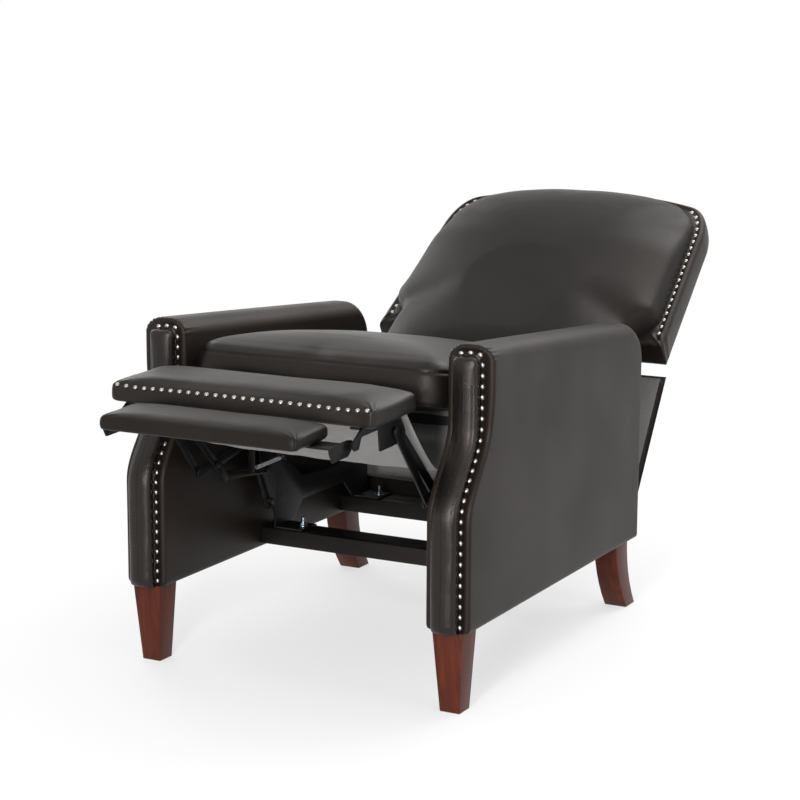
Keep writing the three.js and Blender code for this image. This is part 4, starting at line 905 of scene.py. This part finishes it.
def padHalfOutline():
    points = [(x * pad["lowHalf"] / 10, pad["bottom"]) for x in range(10)]
    for i in range(pad["sideSteps"] + 1):
        z = mix(pad["bottom"], pad["shoulder"], i / pad["sideSteps"])
        points.append((mix(pad["lowHalf"], sideHalf(z) - pad["inWing"], padSpread(z)), z))
    half = points[-1][0]
    corner = (back["shoulderHalf"] - pad["inWing"] - pad["cornerIn"], pad["cornerTop"])
    for curve, steps in ((((half, pad["shoulder"]), (half, pad["turn"]), corner), pad["turnSteps"]),
                         ((corner, (pad["topBend"], pad["top"]), (0, pad["top"])), pad["topSteps"])):
        points += [bent(*curve, i / steps) for i in range(1, steps + 1)]
    return points


def makeBackPad():
    right = padHalfOutline()
    outline = right + [(-x, z) for x, z in reversed(right[1:-1])]
    outline.append(outline[0])
    middle = (pad["bottom"] + back["top"]) / 2
    spine = (back["top"] - pad["bottom"]) / 2 - pad["lowHalf"]
    rearDepth = back["face"] - back["wingThick"]
    rows = [(1.0, 0, 0, 0), (0.5, 0, 0, 0), (0.12, 0, 0, 0), (0, 0, 0, 0), (0, 0.5, 0, 0)]
    rows += [(share, 1, side, top) for share, side, top in padRise]

    def place(u, v):
        x, z = outline[round(u * (len(outline) - 1))]
        share, forward, side, top = rows[round(v * (len(rows) - 1))]
        core = middle + clamp(z - middle, -spine, spine)
        spread = ease((z + (core - z) * share - pad["lumbarTop"]) / 340)
        soft = ease((z - pad["softFrom"]) / (pad["softTo"] - pad["softFrom"]))
        boxed = side ** mix(pad["boxShare"], 1, ease((z - pad["boxTop"]) / 150))
        lift = pad["crown"] * (1 + pad["lumbarShare"] * (1 - spread)) * mix(boxed, top, soft)
        depth = rearDepth + back["wingThick"] * forward + lift
        return inSpace(backSpace, x * (1 - share), -depth, z + (core - z) * share)

    cushion = sealed(shapedGrid("backCushion", len(outline) - 1, len(rows) - 1, place), 0.5)
    base = backSpace.inverted()
    inflated(cushion, pad["voxel"], pad["cap"],
             held=lambda spot: (base @ spot).y > (-back["face"] + 12) * mm)
    refined(cushion)

    def settle(spot):
        x, y, z = spot
        z = softLimit(z, back["top"] + 4, 8)
        below, half = pad["betweenArms"]
        if z < below:
            x = math.copysign(softLimit(abs(x), half, 4), x)
        y += 0.8 * waver(x * 0.008, z * 0.008, 9)
        return x, y, z

    inLocal(cushion, backSpace, settle)
    dressed(smooth(cushion), "back_cushion_dressed", "back", cushionHide, "leather", "back_cushion")


makeBackPad()
print("back cushion filled")


shoulderCurves = (((back["shoulderHalf"], back["shoulderHeight"]), back["shoulderBend"], back["shoulderTop"]),
                  (back["shoulderTop"], back["crestBend"], (0, back["top"])))


# Outline of the back from its centre line below, round the right side to its centre line on top
def backHalfOutline():
    points = [(x, back["wingBottom"]) for x in (*range(200, 316, 8), *range(319, back["wingHalf"], 4))]
    bottom = len(points)
    for i in range(back["sideSteps"] + 1):
        z = mix(back["wingBottom"], back["shoulderHeight"], i / back["sideSteps"])
        points.append((sideHalf(z), z))
    for curve, steps in zip(shoulderCurves, (back["shoulderSteps"], back["crestSteps"])):
        points += [bent(*curve, i / steps) for i in range(1, steps + 1)]
    return points, bottom


def inwardAt(points, i):
    ahead, behind = points[min(i + 1, len(points) - 1)], points[max(i - 1, 0)]
    dx, dz = ahead[0] - behind[0], ahead[1] - behind[1]
    length = math.hypot(dx, dz)
    return -dz / length, dx / length


def wrapProfile():
    shape = [(74, 9), (64, 5), (54, 1.5), (44, -0.6), (35, -1.2), (28, -0.4), (23.5, 1.2), (20.5, 2.2),
             (18, 2.6), (15.5, 2.1), (13.2, 0.9), (10.8, 0.0), (8.2, 0.6), (5.4, 2.1), (3, 4.6), (1.2, 7.8),
             (0.3, 11.5)]
    shape += [(-0.9 * math.sin(math.pi * i / 9), 14 + 36 * i / 9) for i in range(10)]
    shape += [(0.3, 53), (1.4, 56.2), (3.6, 58.6), (6.5, 59.4), (8, 58), (9, 54)]
    return shape


def makeWings():
    half, bottomCount = backHalfOutline()
    mirrored = [(-x, z) for x, z in reversed(half[:-1])]
    path = half + mirrored
    profile = wrapProfile()

    def place(u, v):
        i = round(u * (len(path) - 1))
        inset, deep = profile[round(v * (len(profile) - 1))]
        side = 1 if i < len(half) else -1
        j = i if side > 0 else len(path) - 1 - i
        x, z = half[j]
        nx, nz = inwardAt(half, j)
        if j < bottomCount:
            nx, nz = 0, 1
        if j == len(half) - 1:
            nx, nz = 0, -1
        if 0 < deep < 3 and inset > 12:  # the nails' valley runs out at the bottom
            deep *= ease((z - back["wingBottom"] - 6) / 16)
        px, pz = x + nx * inset, z + nz * inset
        if j < bottomCount:
            px = min(px, sideHalf(pz) - inset)
        elif z < 900:
            pz = max(pz, back["wingBottom"] + inset)
            px = min(px, sideHalf(pz) - inset)
        cornerReach = math.hypot(px - back["wingHalf"], pz - back["wingBottom"])
        if cornerReach < back["gather"] and deep < 55:  # leather gathered round the bottom corner
            turn = math.atan2(pz - back["wingBottom"] + 20, back["wingHalf"] + 17 - px)
            fold = math.sin(turn * back["folds"] + deep * 0.05) * ease((back["gather"] - cornerReach) / 40)
            deep -= 1.5 * fold * ease((30 - deep) / 20)
            px += 0.9 * fold * ease(deep / 14)
        deep += 0.5 * waver(px * 0.02, pz * 0.02, 2)
        return inSpace(backSpace, side * px, -back["face"] + deep, pz)

    wrap = sealed(shapedGrid("wingWrap", len(path) - 1, len(profile) - 1, place), 0.05)
    refined(wrap)
    stations = []
    facing = (backSpace.to_3x3() @ Vector((0, -1, 0))).normalized()
    for j, (x, z) in enumerate(half):
        if z < back["nailFrom"] or j > bottomCount + back["sideSteps"] + back["shoulderSteps"]:
            continue
        nx, nz = inwardAt(half, j)
        x, z = x + nx * back["nailInset"], z + nz * back["nailInset"]
        stations.append((inSpace(backSpace, x, -back["face"], z), facing))
    spots = spaced(stations, back["nailPitch"])
    twins = [(Vector((-place.x, place.y, place.z)), out) for place, out in spots]
    pinched(wrap, spots + twins, *back["pinch"])
    nails = nailRow("wingNails", seated(spots, surfaceOf(wrap)), seed=4)
    twin = mirroredCopy(nails, "wingNailsRight")
    dressed(smooth(wrap), "wing_wrap", "back", coverHide, "leather", "wing_pad_left", "wing_pad_right")
    dressed(nails, "back_nail_trim_left_dressed", "back", nailPewter, "pewter", "back_nail_trim_left")
    dressed(twin, "back_nail_trim_right_dressed", "back", nailPewter, "pewter", "back_nail_trim_right")


makeWings()
print("wings wrapped and nailed")


# A leather panel stretched over wadding: rounded at its rim, fullest in the middle
def panelSlab(name, space, halfAt, low, high, front, rear, puff, columns, rows, seed):
    def place(u, v):
        down = v > 0.5
        t = (v * 2) if not down else (2 - v * 2)
        z = mix(low, high, t)
        half = halfAt(z)
        s = u * 2 - 1
        edge = min(1 - abs(s), 0.06) / 0.06 * min(t, 1 - t, 0.05) / 0.05
        fullness = puff * (math.cos(s * math.pi / 2) * math.sin(math.pi * t)) ** 0.5
        drift = 0.8 * waver(s * 2.2, t * 2.4, seed)
        outer = mix((front + rear) / 2, rear, ease(edge) ** 0.35) + (fullness + drift) * edge
        inner = mix((front + rear) / 2, front, ease(edge) ** 0.35)
        return inSpace(space, s * half, inner if down else outer, z)

    return sealed(shapedGrid(name, columns, rows * 2, place), 0.05)


outside = {"front": -62, "rear": -51.24, "inset": 6, "puff": 3.5, "lowPuff": 2.5}


def makeOutsideBack():
    front, rear, inset = outside["front"], outside["rear"], outside["inset"]

    def upperHalf(z):
        if z <= back["shoulderHeight"]:
            return sideHalf(z) - inset
        top = [bent(*curve, i / 60) for curve in shoulderCurves for i in range(61)]
        near = [x for x, height in top if z - 3 <= height - inset <= z + 0.8]
        return max(max(near, default=0) - 5, 4)

    upper = panelSlab("outsideBackUpper", backSpace, upperHalf, back["wingBottom"] + inset, back["top"] - 8,
                      front, rear, outside["puff"], 48, 56, seed=2)
    lower = panelSlab("outsideBackLower", backSpace, lambda z: back["stemHalf"] - 2, back["stemBottom"],
                      back["wingBottom"] + 4, front, rear - 1, outside["lowPuff"], 40, 24, seed=6)
    panel = joinedAs("outsideBack", [upper, lower])
    dressed(smooth(panel), "outside_back_dressed", "back", coverHide, "leather", "outside_back_panel")


makeOutsideBack()
print("outside back covered")


# Footrest and flipper

rest = {"half": 264, "depth": 158, "thick": 31, "crown": 13, "corner": 7, "swell": 0.6, "voxel": 4, "cap": 6,
        "rounder": 8, "sag": 1.0, "nails": 28, "nailInset": 5.5, "nailEnd": 7, "nailRadius": 4.4,
        "nailHeight": 3.1, "pinch": (7.5, 0.9)}
flip = {"half": 195, "depth": 114, "thick": 23, "crown": 8, "corner": 8, "swell": 0.6, "voxel": 4, "cap": 5,
        "rounder": 20, "sag": 0.8}
# fine pleats gathered into each front corner, and a fold down its edge
gather = {"reach": 48, "fade": 34, "lift": 0.8, "pleats": 17}
cornerFold = {"reach": 26, "fade": 16, "wide": 2.4, "deep": 1.3}


def restPad(name, space, sizes):
    swell = sizes["swell"]
    shift = Matrix.Translation((0, swell * mm, -swell * 0.6 * mm))
    block = softBlock(name, space @ shift, sizes["half"] - swell, sizes["depth"] - 2 * swell,
                      sizes["thick"] - swell * 1.2, sizes["crown"] - swell * 0.6, sizes["corner"],
                      puff=0, rise=3, rounding=0.7)
    base = space.inverted()
    inflated(block, sizes["voxel"], sizes["cap"],
             held=lambda spot: (base @ spot).z < (-sizes["thick"] + 5) * mm, rounds=16, taken=0.8)
    applied(block, "SMOOTH", factor=0.5, iterations=sizes["rounder"])
    refined(block)

    def settle(spot):
        x, y, z = spot
        z = max(z, -sizes["thick"] + 0.4)
        corner = math.hypot(abs(x) - sizes["half"], y)
        if corner < gather["reach"] and z > -4:
            turn = math.atan2(y, sizes["half"] - abs(x))
            near = ease((gather["reach"] - corner) / gather["fade"]) * ease(corner / 8)
            z += gather["lift"] * math.sin(turn * gather["pleats"]) * near
        elif corner < cornerFold["reach"]:
            line = (abs(x) - sizes["half"]) + y
            near = ease((cornerFold["reach"] - corner) / cornerFold["fade"])
            fold = math.exp(-(line / cornerFold["wide"]) ** 2) * near * cornerFold["deep"]
            x -= math.copysign(fold * 0.7, x)
            y += fold * 0.7
        z += sizes["sag"] * waver(x * 0.012, y * 0.02, 8) if z > -4 else 0
        return x, y, z

    return inLocal(block, space, settle)


def makeRests():
    pads = restPad("footrestPad", footSpace, rest)
    end = rest["half"] - rest["nailEnd"]
    facing = (footSpace.to_3x3() @ Vector((0, -0.6, 1))).normalized()
    ends = [(inSpace(footSpace, side * end, rest["nailInset"], 1), facing) for side in (-1, 1)]
    spots = seated(spaced(ends, end * 2 / rest["nails"]), surfaceOf(pads), 0)
    pinched(pads, spots, *rest["pinch"])
    spots = seated(spots, surfaceOf(pads))
    nails = nailRow("footrestNails", spots, rest["nailRadius"], rest["nailHeight"], seed=9)
    dressed(smooth(pads), "footrest_pad_dressed", "footrest", seatHide, "leather",
            "footrest_pad", "footrest_board")
    dressed(nails, "footrest_nail_trim_dressed", "footrest", nailPewter, "pewter", "footrest_nail_trim")
    leaf = restPad("flipperPad", flipSpace, flip)
    dressed(smooth(leaf), "flipper_pad_dressed", "flipper", cushionHide, "leather",
            "flipper_pad", "flipper_board")


makeRests()
print("footrest and flipper padded")


# Rear flap: leather outside, non-woven lining inside, a leather strip left showing round it

flap = {"half": 330, "low": 5.3, "high": 345, "front": -5.2, "rear": 6.5, "puff": 1.2, "lining": (320, 12, 337)}


def makeFlap():
    panel = panelSlab("flapPanel", flapSpace, lambda z: flap["half"], flap["low"], flap["high"],
                      flap["front"], flap["rear"], flap["puff"], 44, 30, seed=3)
    dressed(smooth(panel), "rear_flap_panel_dressed", "flap", railHide, "leather", "rear_flap_panel")
    half, low, high = flap["lining"]

    def place(u, v):
        x, z = (u * 2 - 1) * half, mix(low, high, v)
        wave = 0.5 * waver(x * 0.02, z * 0.02, 1) + 0.35 * math.sin(z * 0.12) * (abs(x) / half) ** 6
        return inSpace(flapSpace, x, -6.0 + wave * 0.5, z)

    lining = shapedGrid("flapLining", 66, 34, place)
    applied(lining, "SOLIDIFY", thickness=0.5 * mm, offset=0)
    dressed(smooth(lining, 40), "rear_flap_lining_dressed", "flap", greyFelt, "grey_cloth", "rear_flap_lining")


makeFlap()
print("rear flap lined")


# Apron: soft grey cloth hung from the rear of the footrest, over the links, and up to the seat

apron = {"half": 240, "line": ((-424.3, 543.6), (-424, 533.4), (-371.9, 470.3), (-317.9, 417.5), (-280, 403),
                               (-235, 413), (-199.2, 460), (-193.8, 493.8)), "thick": 1.2, "sag": 3.5}


def hungThrough(points, steps):
    path = []
    for i in range(len(points) - 1):
        a, b, c, d = points[max(i - 1, 0)], points[i], points[i + 1], points[min(i + 2, len(points) - 1)]
        for j in range(steps):
            t = j / steps
            path.append(tuple(0.5 * (2 * q + (r - p) * t + (2 * p - 5 * q + 4 * r - s) * t * t
                                     + (3 * q - p - 3 * r + s) * t ** 3) for p, q, r, s in zip(a, b, c, d)))
    return path + [points[-1]]


def makeApron():
    path = hungThrough(apron["line"], 6)
    length = sum(math.dist(a, b) for a, b in zip(path, path[1:]))

    def place(u, v):
        i = round(v * (len(path) - 1))
        y, z = path[i]
        s = u * 2 - 1
        loose = math.sin(math.pi * v) ** 0.7
        fold = waver(s * 3.4, v * 0.7, 4) + 0.4 * waver(s * 9, v * 2.0, 6)
        drop = loose * (apron["sag"] * (1 - s * s) + 3.0 * fold)
        return at(s * apron["half"], y + 0.3 * drop, z - drop)

    cloth = shapedGrid("apronCloth", 72, len(path) - 1, place)
    applied(cloth, "SOLIDIFY", thickness=apron["thick"] * mm, offset=0)
    dressed(smooth(cloth, 60), "footrest_apron_dressed", "seat", paleFelt, "grey_cloth", "footrest_apron")
    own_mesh(cloth)


makeApron()
print("apron hung")


# Steel, wood and rails: each starts from the solid's own form, with its edges eased

def copyOf(node, bevel, segments=2, angle=35):
    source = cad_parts[node]
    piece = newPiece(f"{node}_dressed", source.data.copy())
    piece.data.transform(source.matrix_world)
    edited(sealed(piece, 0.01), dissolve_limited={"angle_limit": math.radians(1.5)})
    return smooth(bevelled(piece, bevel, segments, angle), 38)


def makeSteel():
    pairs = {"mechanism_plate": "frame", "lift_link": "lift_links", "extension_link": "extension_links",
             "drive_link": "drive_links", "control_link": "control_links", "footrest_bracket": "footrest",
             "flipper_bracket": "flipper", "seat_bracket": "seat", "back_link": "back_links",
             "back_bracket": "back"}
    pieces = [(f"{node}_{side}", body, 0.45) for node, body in pairs.items() for side in ("left", "right")]
    pieces += [("footrest_torque_tube", "lift_links", 0.4), ("back_link_tube", "back_links", 0.4),
               ("flap_hinge", "frame", 0.4)]
    for name, body, bevel in pieces:
        dressed(copyOf(name, bevel), f"{name}_dressed", body, paintedSteel, "black_steel", name)


makeSteel()
print("steelwork finished")


def makeLegs():
    for kind, angle in (("front_leg", 25), ("rear_leg", 40)):
        for side in ("left", "right"):
            name = f"{kind}_{side}"
            dressed(copyOf(name, 2.2, 3, angle), f"{name}_dressed", "frame", redWood, "mahogany", name)


def makeRails():
    for name in ("front_cross_rail", "rear_cross_rail", "back_cross_rail"):
        rail = copyOf(name, 3.5, 3)
        dressed(rail, f"{name}_dressed", "frame", railHide, "leather", name)


makeLegs()
makeRails()
print("legs and rails finished")


# Bolts through the rails, with hex nuts, washers and threads that stand up past them

bolt = {"x": 193, "ys": {"front": -32.5, "rear": 282.5}, "railLow": 158, "footTop": 194.3, "nutTall": 7,
        "tail": 12, "thread": 1.25, "tooth": 0.75, "radius": 4, "washer": 9.2, "nut": 7.9, "head": 8}


def turned(name, sides, radius, low, high, bevel):
    choose()
    bpy.ops.mesh.primitive_cylinder_add(vertices=sides, radius=radius * mm, depth=(high - low) * mm,
                                        location=(0, 0, (low + high) / 2 * mm))
    piece = placed(bpy.context.object)
    piece.name = name
    return bevelled(piece, bevel, 2, 50)


def threadedRod(low, high):
    pitch, radius = bolt["thread"], bolt["radius"]
    mesh = bpy.data.meshes.new("thread")
    root = radius - bolt["tooth"]
    teeth = [(root, 0), (radius, pitch * 0.42), (radius, pitch * 0.55), (root, pitch)]
    mesh.from_pydata([(r * mm, 0, h * mm) for r, h in teeth], [(0, 1), (1, 2), (2, 3)], [])
    rod = newPiece("thread", mesh)
    turns = int((high - low) / pitch) - 1
    applied(rod, "SCREW", screw_offset=pitch * mm, iterations=turns, steps=16, render_steps=16,
            use_merge_vertices=True)
    rod.data.transform(Matrix.Translation((0, 0, low * mm)))
    return sealed(rod, 0.005)


def makeBolts():
    nutLow = bolt["footTop"] + 1.6
    nutHigh = bolt["footTop"] + 0.3 + bolt["nutTall"]
    top = nutHigh + bolt["tail"]
    parts = [turned("core", 20, bolt["radius"] - 0.6, bolt["railLow"] - 4, top - 0.6, 0.4),
             threadedRod(nutHigh - 1, top),
             turned("washer", 28, bolt["washer"], bolt["footTop"] + 0.3, nutLow, 0.3),
             turned("nut", 6, bolt["nut"], nutLow, nutHigh, 0.9),
             turned("head", 24, bolt["head"], bolt["railLow"] - 4.9, bolt["railLow"] - 0.3, 1.6)]
    whole = joinedAs("boltWhole", [smooth(part, 35) for part in parts])
    for where, y in bolt["ys"].items():
        for side, sign in (("left", 1), ("right", -1)):
            one = duplicate(whole, "railBolt")
            turn = Matrix.Rotation(0.4 * sign + (0.7 if where == "rear" else 0), 4, "Z")
            one.data.transform(Matrix.Translation(at(sign * bolt["x"], y, 0)) @ turn)
            if where == "front":
                dressed(one, f"rail_bolt_{side}_dressed", "frame", brightZinc, "zinc", f"rail_bolt_{side}")
            else:
                dressed(one, f"rear_rail_bolt_{side}", "frame", brightZinc, "zinc")
    bpy.data.objects.remove(whole)


makeBolts()
print("bolts fitted")


spring = {"x": 221, "front": (-176, 335), "rear": (-62, 338), "radius": 3.7, "wire": 0.8, "curls": 24,
          "steps": 14, "hook": 10, "hookSet": 3.6, "hookRadius": 3.2}


def makeSprings():
    (frontY, frontZ), (rearY, rearZ) = spring["front"], spring["rear"]
    x, steps, curl = spring["x"], spring["steps"], spring["hookRadius"]
    total = spring["curls"] * steps

    def centre(y):
        return mix(frontZ, rearZ, (y - frontY) / (rearY - frontY))

    def hook(middle, toward):
        angles = [math.pi * (0.15 + 1.55 * i / 10) for i in range(11)]
        return [(x, middle + toward * curl * math.cos(a), centre(middle) + curl * math.sin(a)) for a in angles]

    line = hook(frontY + spring["hookSet"], 1)[::-1]
    for i in range(total + 1):
        turn = i / steps * 2 * math.pi
        y = mix(frontY + spring["hook"], rearY - spring["hook"], i / total)
        radius = spring["radius"] * min(1, 0.2 + i / steps, 0.2 + (total - i) / steps)
        line.append((x + radius * math.cos(turn), y, centre(y) + radius * math.sin(turn)))
    line += hook(rearY - spring["hookSet"], -1)
    curve = bpy.data.curves.new("springWire", "CURVE")
    curve.dimensions = "3D"
    wire = curve.splines.new("POLY")
    wire.points.add(len(line) - 1)
    for point, place in zip(wire.points, line):
        point.co = (*at(*place), 1)
    curve.bevel_depth = spring["wire"] * mm
    curve.bevel_resolution = 1
    curve.use_fill_caps = True
    choose(newPiece("returnSpring", curve))
    bpy.ops.object.convert(target="MESH")
    coil = smooth(bpy.context.object)
    for side in ("right", "left"):
        one = mirroredCopy(coil, "spring") if side == "right" else coil
        dressed(one, f"footrest_spring_{side}_dressed", None, springSteel, "zinc", f"footrest_spring_{side}")
        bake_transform(one)


makeSprings()
print("return springs wound")


def finishHidden():
    hidden = {"arm_frame_left": rawTimber, "arm_frame_right": rawTimber, "back_board": railHide}
    for name, material in hidden.items():
        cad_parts[name].data.materials.clear()
        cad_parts[name].data.materials.append(material)


finishHidden()
